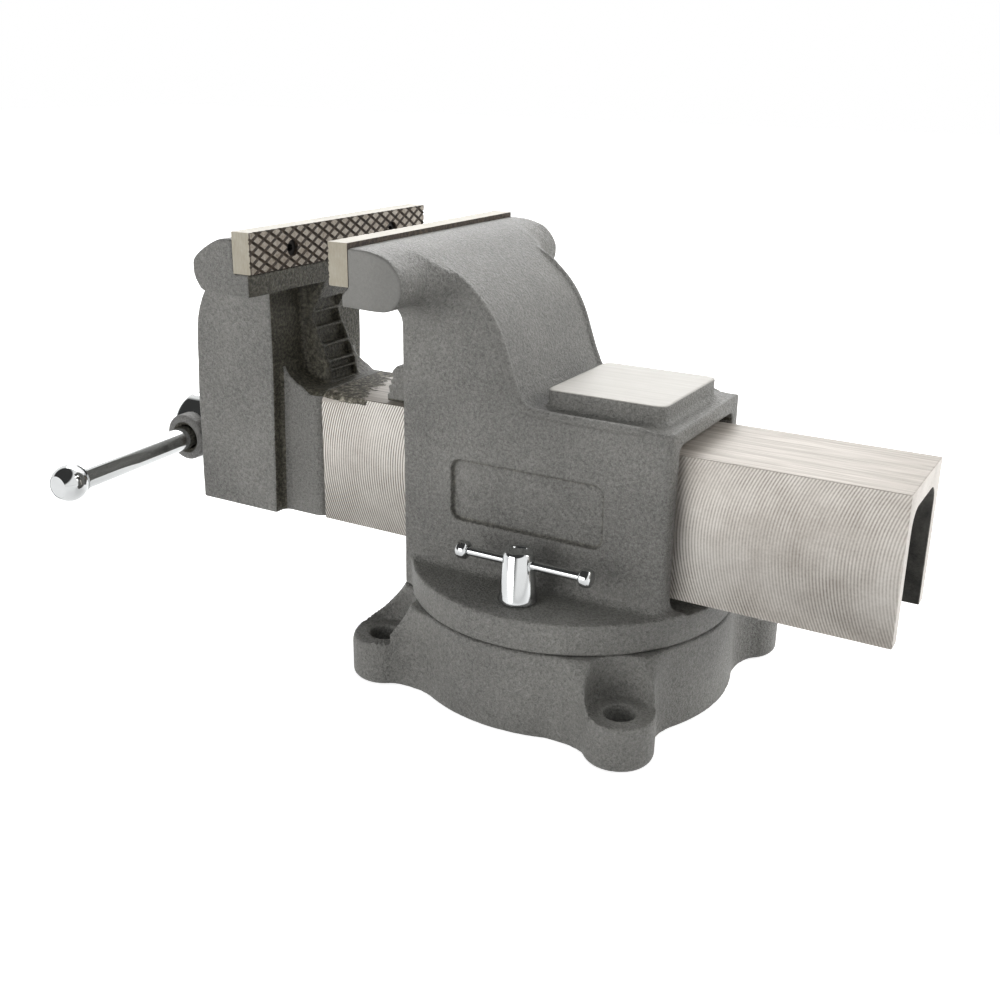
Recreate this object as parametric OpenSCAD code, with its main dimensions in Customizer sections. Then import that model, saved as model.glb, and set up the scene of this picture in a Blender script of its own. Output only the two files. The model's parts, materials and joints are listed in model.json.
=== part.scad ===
// Bench vise with a swivel base. Every piece is its own module; z = 0 is the
// underside of the base, x runs along the slide, and the swivel axis is x = y = 0.

/* [Jaws] */
// Width of both jaws
jaw_width = 152.4; // [120:0.1:203]
// Gap between the gripping faces as drawn
opening = 46.7; // [5:0.1:100]
// Gripping depth from the top of the slide to the top of the jaws
throat_depth = 87.8; // [75:0.1:115]
// Height of a jaw plate
plate_height = 20.3; // [16:0.1:24]
// Thickness of a jaw plate
plate_thickness = 11.3; // [8:0.1:14]
// Distance between the two screws of a plate
plate_screw_spacing = 88; // [50:1:110]
// Diameter of the plate screws
plate_screw_d = 5; // [4:0.5:6]
// Fixed gripping face to the swivel axis
fixed_face = 94.9; // [85:0.1:115]

/* [Fixed jaw casting] */
// Width of the body around the slide
body_width = 88; // [86:0.5:110]
// Rear face of the body behind the swivel axis
body_rear = 68.4; // [62:0.1:74]
// Shoulder of the body above the slide
shoulder_rise = 12.6; // [10:0.1:20]
// Length of the anvil pad
anvil_length = 61; // [40:1:64]
// Width of the anvil pad
anvil_width = 68; // [40:1:80]
// Height of the anvil pad above the shoulder
anvil_height = 9; // [4:0.5:14]
// Radius of the turntable
turntable_radius = 83.8; // [82:0.1:95]
// Thickness of the turntable rim
turntable_thickness = 15.8; // [14:0.1:17]
// Width of the fixed pipe jaw
pipe_jaw_width = 55; // [24:1:60]
// Length of the sunk name panel
panel_length = 83; // [60:1:90]

/* [Slide and front jaw] */
// Width of the slide
slide_width = 62.4; // [60:0.1:66]
// Height of the slide
slide_height = 71.4; // [68:0.1:80]
// Thickness of the slide's side walls
slide_wall = 7.8; // [5:0.1:9]
// Thickness of the slide's roof
slide_roof = 10; // [7:0.1:14]
// Front gripping face to the rear end of the slide
slide_reach = 311.6; // [290:0.1:330]
// Running clearance between slide and body
slide_clearance = 0.3; // [0.25:0.01:0.45]
// Width of the front jaw below its head
front_width = 79; // [74:0.5:88]
// Front gripping face to the front wall
front_depth = 76.2; // [72:0.1:90]
// Length over which the slide's root tapers out of the front jaw
root_length = 22; // [10:0.5:24]
// Width of the front pipe jaw
front_teeth_width = 27; // [20:1:50]

/* [Screw and handle] */
// Diameter of the screw
screw_d = 25.4; // [20:0.1:28]
// Height of the screw axis above the underside of the slide
screw_rise = 27.5; // [26:0.1:32]
// Diameter of the screw head
head_d = 40; // [36:0.5:46]
// Length of the screw head
head_length = 28; // [26:0.5:36]
// Length of the nut
nut_length = 40; // [30:0.5:44]
// Width of the nut
nut_width = 34; // [30:0.5:36]
// Diameter of the handle
handle_d = 13.4; // [10:0.1:15]
// Distance between the centres of the handle knobs
handle_length = 230; // [160:1:320]
// Diameter of the handle knobs
knob_d = 19.8; // [18.5:0.1:26]
// How far the handle is pushed to the far side
handle_shift = 4; // [-30:0.5:30]
// Angle at which the handle rests
handle_lean = 2; // [-20:0.5:20]

/* [Base] */
// Height of the base under the turntable
base_height = 43; // [40:0.5:56]
// Radius of the base at the turntable
base_radius = 84; // [82:0.1:96]
// Diameter of the bolt circle
bolt_circle_d = 197; // [190:0.5:220]
// Diameter of the bolt holes
bolt_hole_d = 15; // [10:0.5:17]
// Height of the lugs at the bolt holes
lug_height = 22.5; // [16:0.5:26]
// Turn of the lugs against the slide
lug_turn = 39.8; // [0:0.1:90]

/* [Base locks] */
// Distance of the lock bolts from the swivel axis
lock_offset = 63.5; // [62:0.1:65]
// Lock bolts ahead of or behind the swivel axis
lock_x = 2.2; // [-3:0.1:4]
// Diameter of the lock bolt shank
lock_d = 12; // [8:0.5:12]
// Height of the lock bolt head
lock_head = 26.3; // [24:0.1:32]
// Diameter of the bar through the lock bolt
lock_bar_d = 4.6; // [3:0.1:6]
// Length of that bar between its end caps
lock_bar_length = 60; // [46:0.5:64]
// Width of the clamp nuts in the circular slot
clamp_nut_width = 22; // [20:0.5:24]
// Height of the clamp nuts
clamp_nut_height = 10; // [8:0.5:11]

/* [Hidden] */
$fn = 72;
gap = 0.3;          // between pieces of different bodies
seat = 0.05;        // radial play of a fixed screw or pin
e = 1;              // overshoot of cuts
turn_z = base_height + gap;
rim_z = turn_z + turntable_thickness;
floor_z = turn_z + 13.7;
slide_z = floor_z + 6.05;
slide_top = slide_z + slide_height;
top_z = slide_top + throat_depth;
plate_z = top_z - plate_height;
plate_screw_z = plate_z + 0.475 * plate_height;
plate_head_r = 0.84 * plate_screw_d;
under_z = plate_z - 10.2;
shoulder_z = slide_top + shoulder_rise;
screw_z = slide_z + screw_rise;
front_x = -(fixed_face + opening);
body_front = -fixed_face + 19.5;
guide_w = slide_width + 2 * slide_clearance;
guide_z = slide_z - slide_clearance;
guide_top = slide_top + slide_clearance;
screw_r = screw_d / 2;
neck_r = screw_r - 1.7;
bush_r = neck_r + 4;
web_x = -21.5;               // rear of the front jaw's body, from the front face
wall_rear = -50;             // inner face of the front wall, from the front face
boss_x = -front_depth - 10;  // face of the spindle boss, from the front face
head_x = boss_x - 4 - head_length;
head_mid = head_x + head_length / 2;
handle_r = handle_d / 2;
ring_reach = head_d / 2 + 4;
lug_r = bolt_circle_d / 2;
slot_in = lock_offset - lock_d / 2 - 0.8;
slot_out = sqrt(pow(lock_offset, 2) + pow(lock_x, 2)) + lock_d / 2 + 0.8;
lock_bar_z = rim_z + lock_head - 6.5;
nut_front = body_front + 12;
nut_rear = nut_front + nut_length;
nut_bolts = [nut_front + 0.24 * nut_length, nut_rear - 0.24 * nut_length];
nut_bolt_r = 4;

paint = [0.43, 0.42, 0.40];
steel = [0.72, 0.70, 0.67];
bright = [0.88, 0.89, 0.90];
bronze = [0.70, 0.54, 0.32];
dark = [0.30, 0.30, 0.29];

module along_x(x0, x1)
    translate([x0, 0, 0]) rotate([90, 0, 90]) linear_extrude(height = x1 - x0) children();
module along_y(half)
    translate([0, half, 0]) rotate([90, 0, 0]) linear_extrude(height = 2 * half) children();
module rod_x(x0, x1, r, r2)
    translate([x0, 0, 0]) rotate([0, 90, 0]) cylinder(h = x1 - x0, r1 = r, r2 = r2 == undef ? r : r2);
module rod_y(y0, y1, r)
    translate([0, y0, 0]) rotate([-90, 0, 0]) cylinder(h = y1 - y0, r = r);
module round_rect(w, h, r)
    union() {
        translate([-w / 2 + r, -h / 2]) square([w - 2 * r, h]);
        translate([-w / 2, -h / 2 + r]) square([w, h - 2 * r]);
        for (sx = [-1, 1], sy = [-1, 1])
            translate([sx * (w / 2 - r), sy * (h / 2 - r)]) circle(r = r);
    }
module corner(r) // concave fillet, sunk a little into both walls
    difference() {
        translate([-e, -e]) square([r + e, r + e]);
        translate([r, r]) circle(r = r);
    }

// ---- swivel base ----
module base_lug() {
    hull() {
        translate([lug_r, 0, 0]) cylinder(h = lug_height, r1 = 17.5, r2 = 16.5, $fn = 32);
        translate([base_radius - 26, 0, 0]) cylinder(h = base_height - 1.2, r = 23, $fn = 32);
    }
    rf = 18;
    cx = sqrt(pow(base_radius + rf, 2) - pow(17 + rf, 2));
    for (s = [-1, 1])
        linear_extrude(height = lug_height - 2) difference() {
            translate([base_radius - 18, s > 0 ? 12 : -17 - rf]) square([cx - base_radius + 18, 5 + rf]);
            translate([cx, s * (17 + rf)]) circle(r = rf);
        }
}
module swivel_base() color(paint) {
    ledge = 10;
    slot_floor = base_height - 23;
    difference() {
        union() {
            cylinder(h = base_height, r1 = base_radius + 1.5, r2 = base_radius);
            for (i = [0:3]) rotate([0, 0, lug_turn + 90 * i]) base_lug();
        }
        for (i = [0:3]) rotate([0, 0, lug_turn + 90 * i]) translate([lug_r, 0, 0]) {
            translate([0, 0, -e]) cylinder(h = base_height, r = bolt_hole_d / 2);
            translate([0, 0, lug_height]) cylinder(h = base_height, r = 16);
        }
        // circular T-slot for the lock bolts
        translate([0, 0, base_height - ledge - e]) difference() {
            cylinder(h = ledge + 2 * e, r = slot_out);
            translate([0, 0, -e]) cylinder(h = ledge + 4 * e, r = slot_in);
        }
        translate([0, 0, slot_floor]) difference() {
            cylinder(h = base_height - ledge - slot_floor, r = lock_offset + 13.5);
            translate([0, 0, -e]) cylinder(h = base_height, r = lock_offset - 13.5);
        }
        // hollow underside
        translate([0, 0, -e]) cylinder(h = slot_floor - 8 + e, r = base_radius - 9);
        translate([0, 0, -e]) cylinder(h = slot_floor + 9 + e, r = lock_offset - 20);
        translate([0, 0, -e]) cylinder(h = base_height + 2 * e, r = 14 + gap);
    }
}

// ---- fixed jaw casting ----
module head_section(l, s, lip) // s = 1 behind the fixed face, -1 ahead of the front face
    scale([s, 1]) polygon([[plate_thickness, plate_z], [plate_thickness, top_z - 2.4], [19, top_z - 2.2],
        [l - 15.2, top_z - 3.4], [l - 9.3, top_z - 5.5], [l - 2.8, top_z - 10], [l - 0.3, top_z - 14.5],
        [l, top_z - 19], [l - 0.8, top_z - 22.8], [l - 3.3, top_z - 26.4], [l - 7, plate_z - 8.9],
        [l - 12.2, under_z], [lip[0] + 0.5, under_z], lip]);
module body_section() { // side view of the casting, without its head
    h = top_z - shoulder_z;
    x0 = -fixed_face;
    polygon([[body_front, turn_z], [body_front, under_z], [x0 + 17, under_z + 3], [x0 + 17, top_z - 2.2],
        [x0 + 25.8, top_z - 3.4], [x0 + 33, top_z - 0.075 * h], [x0 + 40, top_z - 0.125 * h],
        [x0 + 49, top_z - 0.195 * h], [x0 + 58.9, top_z - 0.295 * h], [x0 + 67.9, top_z - 0.41 * h],
        [x0 + 74.4, top_z - 0.56 * h], [x0 + 78.4, top_z - 0.715 * h], [x0 + 82.4, top_z - 0.865 * h],
        [x0 + 86.5, top_z - 0.965 * h], [x0 + 92, shoulder_z], [body_rear, shoulder_z], [body_rear, turn_z]]);
}
module body_plan() {
    w = body_rear - body_front;
    translate([(body_rear + body_front) / 2, 0]) round_rect(w, body_width, 5);
    translate([body_front + 10, 0]) round_rect(20, body_width, 1.2); // crisp front edges
}
module horn_plan(x_head, x_end, half) { // head width narrowing to the body width
    r = min(x_end - x_head, (jaw_width - 2 * half) / 2);
    for (s = [-1, 1]) scale([1, s]) {
        translate([x_head - 20, half - 4]) square([20.01, jaw_width / 2 - half + 4]);
        translate([x_head, half - 4]) square([r, 4.01]);
        translate([x_head, half]) corner(r);
    }
}
module horn_front(half, r) { // seen from the front: the flare under the head
    for (s = [-1, 1]) scale([s, 1]) {
        translate([half - 4, under_z - 0.01]) square([jaw_width / 2 - half + 4, top_z - under_z]);
        translate([half, under_z]) scale([1, -1]) corner(r);
        translate([half - 4, under_z - r]) square([4.01, r + 1]);
    }
}
module fixed_pipe_jaw() {
    x0 = -fixed_face;
    z0 = slide_top + gap;
    along_y(pipe_jaw_width / 2) polygon([[body_front + e, z0], [x0 - 2.5, z0], [x0 - 2.5, z0 + 4],
        [x0 - 1.1, z0 + 4.2], [x0 - 1.9, z0 + 8.6], [x0 + 0.2, z0 + 8.8], [x0 - 0.4, z0 + 12],
        [x0 + 1.2, z0 + 12.2], [x0 + 0.6, z0 + 16], [x0 + 3.4, z0 + 19.2], [body_front + e, z0 + 19.2]]);
}
module name_panel(side) // sunk and left bare
    scale([1, side, 1]) translate([-6, body_width / 2 - 1.3, slide_z + 37.6]) rotate([-90, 0, 0])
        linear_extrude(height = e + 1.3) round_rect(panel_length, 31.4, 5);
module vise_body() color(paint) difference() {
    union() {
        translate([0, 0, turn_z]) cylinder(h = turntable_thickness - 1.5, r = turntable_radius);
        translate([0, 0, rim_z - 1.5]) cylinder(h = 1.5, r1 = turntable_radius, r2 = turntable_radius - 1.5);
        translate([0, 0, turn_z - 8]) cylinder(h = 10, r = 14);
        intersection() {
            along_y(body_width / 2 + e) body_section();
            translate([0, 0, turn_z]) linear_extrude(height = top_z) body_plan();
        }
        translate([-fixed_face, 0, 0]) along_y(jaw_width / 2) head_section(41, 1, [7.1, plate_z - 4.4]);
        intersection() {
            along_y(jaw_width) body_section();
            translate([0, 0, turn_z]) linear_extrude(height = top_z)
                horn_plan(-fixed_face + 39, -fixed_face + 71, body_width / 2);
            along_x(body_front, body_rear) horn_front(body_width / 2, 16);
        }
        intersection() { // fillets where the body stands on the turntable
            for (s = [-1, 1]) scale([1, s, 1])
                along_x(body_front + 4, body_rear - 4) translate([body_width / 2, rim_z]) corner(6);
            translate([0, 0, turn_z]) cylinder(h = 50, r = turntable_radius - 1.5);
        }
        along_y(body_width / 2) translate([body_front, under_z]) scale([-1, -1]) corner(10);
        // anvil pad
        translate([(body_rear - 9 + body_rear - 9 - anvil_length) / 2, 0, shoulder_z - e])
            linear_extrude(height = anvil_height + e) round_rect(anvil_length, anvil_width, 6);
        fixed_pipe_jaw();
    }
    // way for the slide: two guides with a cored space between and behind them
    along_x(body_front - e, body_rear + e) translate([-guide_w / 2, guide_z])
        square([guide_w, guide_top - guide_z]);
    for (r = [[body_front + 27, body_rear - 34], [body_rear - 8, body_rear + e]]) along_x(r[0], r[1])
        translate([0, (floor_z + slide_top + 5.5) / 2])
            round_rect(guide_w + 6.4, slide_top + 5.5 - floor_z, 9);
    // pocket and screw holes of the nut
    translate([nut_front - 1, -guide_w / 2 + slide_wall + 3, floor_z])
        cube([nut_rear - nut_front + 2, guide_w - 2 * slide_wall - 6, 20]);
    for (x = nut_bolts) translate([x, 0, turn_z - e]) {
        cylinder(h = floor_z - turn_z + 2 * e, r = nut_bolt_r + gap);
        cylinder(h = 6 + e, r = nut_bolt_r + 3);
    }
    for (s = [-1, 1]) name_panel(s);
    // lock bolt holes
    for (s = [-1, 1]) translate([lock_x, s * lock_offset, turn_z - e])
        cylinder(h = turntable_thickness + 2 * e, r = lock_d / 2 + gap);
    // plate screw holes
    for (s = [-1, 1]) translate([-fixed_face, s * plate_screw_spacing / 2, plate_screw_z])
        rod_x(plate_thickness - e, plate_thickness + 16, plate_screw_d / 2);
}

// ---- jaw plates and their screws ----
module jaw_plate() color(steel) difference() {
    translate([-plate_thickness, -jaw_width / 2, plate_z]) cube([plate_thickness, jaw_width, plate_height]);
    for (s = [-1, 1]) translate([0, s * plate_screw_spacing / 2, plate_screw_z]) {
        rod_x(-plate_thickness - e, e, plate_screw_d / 2 + gap);
        rod_x(-6.5, e, plate_head_r + seat);
    }
}
module plate_screws() color(dark)
    for (s = [-1, 1]) translate([0, s * plate_screw_spacing / 2, plate_screw_z]) difference() {
        union() {
            rod_x(-plate_thickness - 14, -5, plate_screw_d / 2 - seat);
            rod_x(-6.5, -2, plate_head_r);
        }
        translate([-4.6, 0, 0]) rotate([0, 90, 0]) cylinder(h = 3, r = plate_screw_d * 0.46, $fn = 6);
    }
module to_fixed() translate([-fixed_face, 0, 0]) scale([-1, 1, 1]) children();
module to_front() translate([front_x, 0, 0]) children();

// ---- nut of the screw, screwed to the floor of the body ----
module spindle_nut() color(bronze) difference() {
    union() {
        translate([nut_front, -nut_width / 2, floor_z]) cube([nut_length, nut_width, screw_z - floor_z]);
        translate([0, 0, screw_z]) rod_x(nut_front, nut_rear, nut_width / 2);
    }
    translate([0, 0, screw_z]) rod_x(nut_front - e, nut_rear + e, screw_r + gap);
    for (x = nut_bolts) translate([x, 0, floor_z - e]) cylinder(h = 0.45 * screw_rise + e, r = nut_bolt_r);
}
module nut_screws() color(dark)
    for (x = nut_bolts) translate([x, 0, turn_z]) difference() {
        union() {
            translate([0, 0, 1]) cylinder(h = 5, r = nut_bolt_r + 2.5);
            translate([0, 0, 5]) cylinder(h = floor_z - turn_z + 5, r = nut_bolt_r - seat);
        }
        cylinder(h = 4, r = 0.85 * nut_bolt_r, $fn = 6);
    }

// ---- clamp nuts that run in the circular slot ----
module clamp_nuts() color(dark)
    for (s = [-1, 1]) translate([lock_x, s * lock_offset, base_height - 10 - gap - clamp_nut_height])
        difference() {
            translate([-clamp_nut_width / 2, -clamp_nut_width / 2, 0])
                cube([clamp_nut_width, clamp_nut_width, clamp_nut_height]);
            translate([0, 0, -e]) cylinder(h = clamp_nut_height + 2 * e, r = lock_d / 2 + gap);
        }

// ---- front jaw and slide, one casting; x = 0 is its gripping face ----
module front_section() {
    d = front_depth;
    h = top_z - slide_top;
    polygon([[-d, slide_z], [-d + 1, slide_top - 13], [-d + 2.2, slide_top + 12],
        [-d + 4.2, slide_top + 0.4 * h], [-d + 6.6, slide_top + 0.48 * h], [-d + 10, slide_top + 0.555 * h],
        [-d + 18, slide_top + 0.66 * h], [-d + 28, slide_top + 0.75 * h], [-d + 38, slide_top + 0.83 * h],
        [-33, top_z - 11], [-28, top_z - 7.6], [-20.3, top_z - 4.6], [-20.3, under_z + 2],
        [web_x, under_z - 2], [web_x, slide_z]]);
}
module front_plan() {
    w = front_depth + web_x;
    translate([web_x - w / 2, 0]) round_rect(w, front_width, 1.5);
}
module root_plan()
    polygon([[web_x - 1, -front_width / 2], [web_x + root_length, -slide_width / 2],
        [web_x + root_length, slide_width / 2], [web_x - 1, front_width / 2]]);
module front_pipe_jaw() { // a leaning rib with five pockets between its teeth
    z0 = slide_top - e;
    difference() {
        along_y(front_teeth_width / 2) polygon([[-24, z0], [-2, z0], [-4.2, z0 + 13], [-6.4, z0 + 20],
            [-17.4, z0 + 45], [-20, under_z + 1], [-24, under_z + 1]]);
        for (i = [0:4]) {
            x = i < 2 ? -2.4 - 1.3 * i : -1.2 - 2.7 * i - 0.2 * i * i;
            z = z0 + 3.6 + 8.1 * i;
            along_y(front_teeth_width / 2 - 2.6) polygon([[x + 3, z - 1.2], [x - 2.4, z - 0.2],
                [x - 5.0, z + 5.6], [x + 3, z + 6.6]]);
        }
    }
}
module front_jaw() color(paint) difference() {
    union() {
        along_x(-front_depth + 2, slide_reach) translate([0, (slide_z + slide_top) / 2])
            round_rect(slide_width, slide_height, 2);
        intersection() {
            along_y(front_width / 2 + e) front_section();
            translate([0, 0, slide_z]) linear_extrude(height = top_z) front_plan();
        }
        along_y(jaw_width / 2) head_section(37.2, -1, [1.3, plate_z]);
        intersection() {
            along_y(jaw_width) front_section();
            translate([0, 0, slide_z]) linear_extrude(height = top_z)
                scale([-1, 1]) horn_plan(35, 58, front_width / 2);
            along_x(-front_depth, 0) horn_front(front_width / 2, 18);
        }
        // root of the slide, tapering out of the body, with a cove above it
        translate([0, 0, slide_z]) linear_extrude(height = slide_height) root_plan();
        intersection() {
            along_y(front_width / 2) translate([web_x - 1, slide_top - e]) corner(root_length - 2);
            translate([0, 0, slide_z]) linear_extrude(height = top_z) root_plan();
        }
        front_pipe_jaw();
        translate([0, 0, screw_z]) rod_x(boss_x, -front_depth + 8, head_d / 2 + 4);
    }
    // channel under the slide
    along_x(wall_rear, slide_reach + e) {
        w = slide_width - 2 * slide_wall;
        translate([-w / 2, slide_z - e]) square([w, slide_height - slide_roof - 10 + e]);
        translate([-w / 2 + 10, slide_z]) square([w - 20, slide_height - slide_roof]);
        for (s = [-1, 1]) translate([s * (w / 2 - 10), slide_top - slide_roof - 10]) circle(r = 10);
    }
    translate([0, 0, screw_z]) rod_x(boss_x - e, wall_rear + e, bush_r);
    for (s = [-1, 1]) translate([0, s * plate_screw_spacing / 2, plate_screw_z])
        rod_x(-plate_thickness - 16, -plate_thickness + e, plate_screw_d / 2);
}
module spindle_bush() color(bronze) translate([0, 0, screw_z]) difference() {
    rod_x(boss_x, wall_rear, bush_r);
    rod_x(boss_x - e, wall_rear + e, neck_r + gap);
}

// ---- screw, with its head, washers, collar and pin; same origin as the front jaw ----
screw_end = slide_reach - 70;
collar_x = wall_rear + 3.6;
module spindle() color(bright) translate([0, 0, screw_z]) difference() {
    union() {
        rod_x(head_x, head_x + 3, head_d / 2 - 3, head_d / 2);
        rod_x(head_x + 3, head_x + head_length - 1.5, head_d / 2);
        rod_x(head_x + head_length - 1.5, head_x + head_length, head_d / 2, head_d / 2 - 1.5);
        rod_x(head_x + head_length - 1, collar_x + 16, neck_r);
        rod_x(collar_x + 14, screw_end - 3, screw_r);
        rod_x(screw_end - 3, screw_end, screw_r, screw_r - 3);
    }
    translate([head_mid, 0, 0]) rotate([handle_lean, 0, 0]) {
        rod_y(-head_d, head_d, handle_r + 3.6);
    }
    translate([collar_x + 6, 0, 0]) rod_y(-30, 30, 2.5);
}
module thrust_washer() color(bronze) translate([0, 0, screw_z]) difference() {
    rod_x(boss_x - 4, boss_x - gap, head_d / 2 - 1);
    rod_x(boss_x - 5, boss_x + e, neck_r + seat);
}
module inner_washer() color(bronze) translate([0, 0, screw_z]) difference() {
    rod_x(wall_rear + gap, collar_x, bush_r + 2);
    rod_x(wall_rear - e, collar_x + e, neck_r + seat);
}
module retaining_collar() color(dark) translate([0, 0, screw_z]) difference() {
    rod_x(collar_x, collar_x + 12, neck_r + 7);
    rod_x(collar_x - e, collar_x + 13, neck_r + seat);
    translate([collar_x + 6, 0, 0]) rod_y(-30, 30, 2.5);
}
module collar_pin() color(steel) translate([collar_x + 6, 0, screw_z])
    rod_y(-neck_r - 6.5, neck_r + 6.5, 2.5 - seat);

// ---- rings at both mouths of the cross hole ----
module handle_rings() color(paint) translate([head_mid, 0, screw_z]) rotate([handle_lean, 0, 0])
    for (s = [-1, 1]) scale([1, s, 1]) difference() {
        union() {
            rod_y(handle_r, ring_reach - 2, handle_r + 3.6 - seat);
            difference() { // flange seated on the round head
                rod_y(head_d / 2 - 6, ring_reach - 1.5, handle_r + 5.8);
                rod_x(-head_length, head_length, head_d / 2);
            }
            translate([0, ring_reach - 1.5, 0]) rotate([-90, 0, 0])
                cylinder(h = 1.5, r1 = handle_r + 5.8, r2 = handle_r + 4.4);
        }
        rod_y(0, head_d, handle_r + gap);
        translate([0, ring_reach - 2.4, 0]) rotate([-90, 0, 0])
            cylinder(h = 3, r1 = handle_r + gap, r2 = handle_r + 2.4);
    }

// ---- handle ----
module handle_bar() color(bright) translate([head_mid, 0, screw_z]) rotate([handle_lean, 0, 0])
    translate([0, handle_shift, 0]) rod_y(-handle_length / 2 + 2, handle_length / 2 - 2, handle_r);
module knob(s) color(bright) translate([head_mid, 0, screw_z]) rotate([handle_lean, 0, 0])
    translate([0, handle_shift + s * handle_length / 2, 0]) rotate([s * -90, 0, 0]) rotate_extrude() difference() {
        intersection() {
            circle(r = knob_d / 2);
            translate([0, -knob_d / 2]) square([knob_d / 2, knob_d]);
        }
        translate([0, -knob_d]) square([handle_r, knob_d - 2]);
    }

// ---- base lock: bolt, bar and its end caps ----
module lock_at(s) translate([lock_x, s * lock_offset, 0]) children();
module lock_bolt() color(bright) difference() {
    union() {
        translate([0, 0, rim_z + gap]) cylinder(h = 3, r = 9.6);
        translate([0, 0, rim_z + gap + 2.9]) cylinder(h = lock_head - 4.4, r1 = 9, r2 = 7.4);
        translate([0, 0, rim_z + lock_head - 1.21]) cylinder(h = 1.2, r1 = 7.4, r2 = 6.4);
        translate([0, 0, base_height - 19.5]) cylinder(h = rim_z + 4 - base_height + 19.5, r = lock_d / 2);
    }
    translate([0, 0, lock_bar_z]) rod_x(-12, 12, lock_bar_d / 2 + gap);
}
module lock_bar() color(bright) translate([2.6, 0, lock_bar_z])
    rod_x(-lock_bar_length / 2 - 4, lock_bar_length / 2 + 4, lock_bar_d / 2);
module bar_caps() color(bright) translate([2.6, 0, lock_bar_z]) for (s = [-1, 1]) scale([s, 1, 1]) difference() {
    union() {
        rod_x(lock_bar_length / 2, lock_bar_length / 2 + 1, 3.4, 4.5);
        rod_x(lock_bar_length / 2 + 1, lock_bar_length / 2 + 5, 4.5);
        rod_x(lock_bar_length / 2 + 5, lock_bar_length / 2 + 6, 4.5, 3.6);
    }
    rod_x(lock_bar_length / 2 - e, lock_bar_length / 2 + 4, lock_bar_d / 2 + seat);
}

swivel_base();
vise_body();
to_fixed() jaw_plate();  // fixed_jaw_plate
to_fixed() plate_screws();  // fixed_plate_screws
spindle_nut();
nut_screws();
clamp_nuts();
to_front() front_jaw();
to_front() jaw_plate();  // front_jaw_plate
to_front() plate_screws();  // front_plate_screws
to_front() spindle_bush();
to_front() spindle();
to_front() thrust_washer();
to_front() inner_washer();
to_front() retaining_collar();
to_front() collar_pin();
to_front() handle_rings();
to_front() handle_bar();
to_front() knob(-1);  // near_knob
to_front() knob(1);  // far_knob
lock_at(-1) lock_bolt();  // near_lock_bolt
lock_at(-1) lock_bar();  // near_lock_bar
lock_at(-1) bar_caps();  // near_bar_caps
lock_at(1) lock_bolt();  // far_lock_bolt
lock_at(1) lock_bar();  // far_lock_bar
lock_at(1) bar_caps();  // far_bar_caps
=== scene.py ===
"""A bench vise on a swivel base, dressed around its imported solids.

Sizes are in millimetres in the part's own frame and turn into metres as each mesh is made.
x runs along the slide, y along the jaws, z up; the swivel axis is x = y = 0.
"""

import json
import math

import bmesh
import bpy
import numpy as np
import openvdb
from mathutils import Matrix, Vector


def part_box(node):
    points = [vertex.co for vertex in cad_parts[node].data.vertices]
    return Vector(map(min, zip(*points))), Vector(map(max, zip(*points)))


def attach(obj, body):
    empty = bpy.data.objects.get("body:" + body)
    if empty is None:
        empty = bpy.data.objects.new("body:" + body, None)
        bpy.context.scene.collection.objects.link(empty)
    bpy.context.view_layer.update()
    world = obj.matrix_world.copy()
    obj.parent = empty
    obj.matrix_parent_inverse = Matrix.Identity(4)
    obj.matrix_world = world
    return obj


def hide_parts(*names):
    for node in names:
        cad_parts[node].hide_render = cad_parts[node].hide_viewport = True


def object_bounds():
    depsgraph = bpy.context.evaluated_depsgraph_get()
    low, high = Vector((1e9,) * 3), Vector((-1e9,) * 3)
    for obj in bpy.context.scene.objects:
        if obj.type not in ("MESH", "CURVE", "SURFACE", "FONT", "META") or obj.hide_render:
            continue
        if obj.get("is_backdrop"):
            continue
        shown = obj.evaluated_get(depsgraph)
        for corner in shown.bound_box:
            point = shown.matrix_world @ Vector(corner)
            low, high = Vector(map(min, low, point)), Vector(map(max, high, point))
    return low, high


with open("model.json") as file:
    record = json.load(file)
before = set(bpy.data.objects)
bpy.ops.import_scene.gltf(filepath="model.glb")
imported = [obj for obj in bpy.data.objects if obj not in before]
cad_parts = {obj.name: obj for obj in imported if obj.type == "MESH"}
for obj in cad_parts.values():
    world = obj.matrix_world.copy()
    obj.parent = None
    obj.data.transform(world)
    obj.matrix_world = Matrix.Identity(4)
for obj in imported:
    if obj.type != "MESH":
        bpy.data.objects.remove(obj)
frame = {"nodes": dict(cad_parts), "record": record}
cad_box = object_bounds()
nodes = frame["nodes"]
mounts = {m["name"]: m for m in frame["record"]["mounts"]}

# ---------------------------------------------------------------- swivel base
# The base is one grey iron casting: a round skirt with four bolted lugs and a circular T-slot
# in its top. It is sand cast, machined on top and underneath, and sprayed with grey enamel.


def corners(node):
    """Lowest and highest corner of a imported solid, in millimetres."""
    return [[1000 * c for c in corner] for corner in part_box(node)]


BASE_TOP = corners("swivel_base")[1][2]
SKIRT, SKIRT_FLARE = 84.0, 1.5
# four lugs: where each starts and ends on its way out, its half width there, and its sloping top
LUG_CIRCLE = mounts["base_bolts"]["dims"]["pcd_mm"] / 2
BOLT_HOLE = mounts["base_bolts"]["dims"]["hole_r_mm"]
LUG_ANGLES = [math.radians(39.8 + 90 * i) for i in range(4)]
LUG_START, LUG_END, LUG_BROAD, LUG_NARROW = 58, 116, 23, 17
LUG_TOP, LUG_FALL, SPOT_FACE = 22.5, 0.52, 16
# the circular slot for the clamp nuts, and the open space underneath
SLOT, SLOT_MOUTH, SLOT_WIDE, SLOT_LIP, SLOT_FLOOR = 63.5, 6.8, 13.5, 10, 20
UNDER_RADIUS, UNDER_HIGH, HUB_RADIUS, HUB_HIGH, PIVOT_BORE = 75, 12, 43.5, 29, 14.3
SAND_WAVE = 0.25


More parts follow.
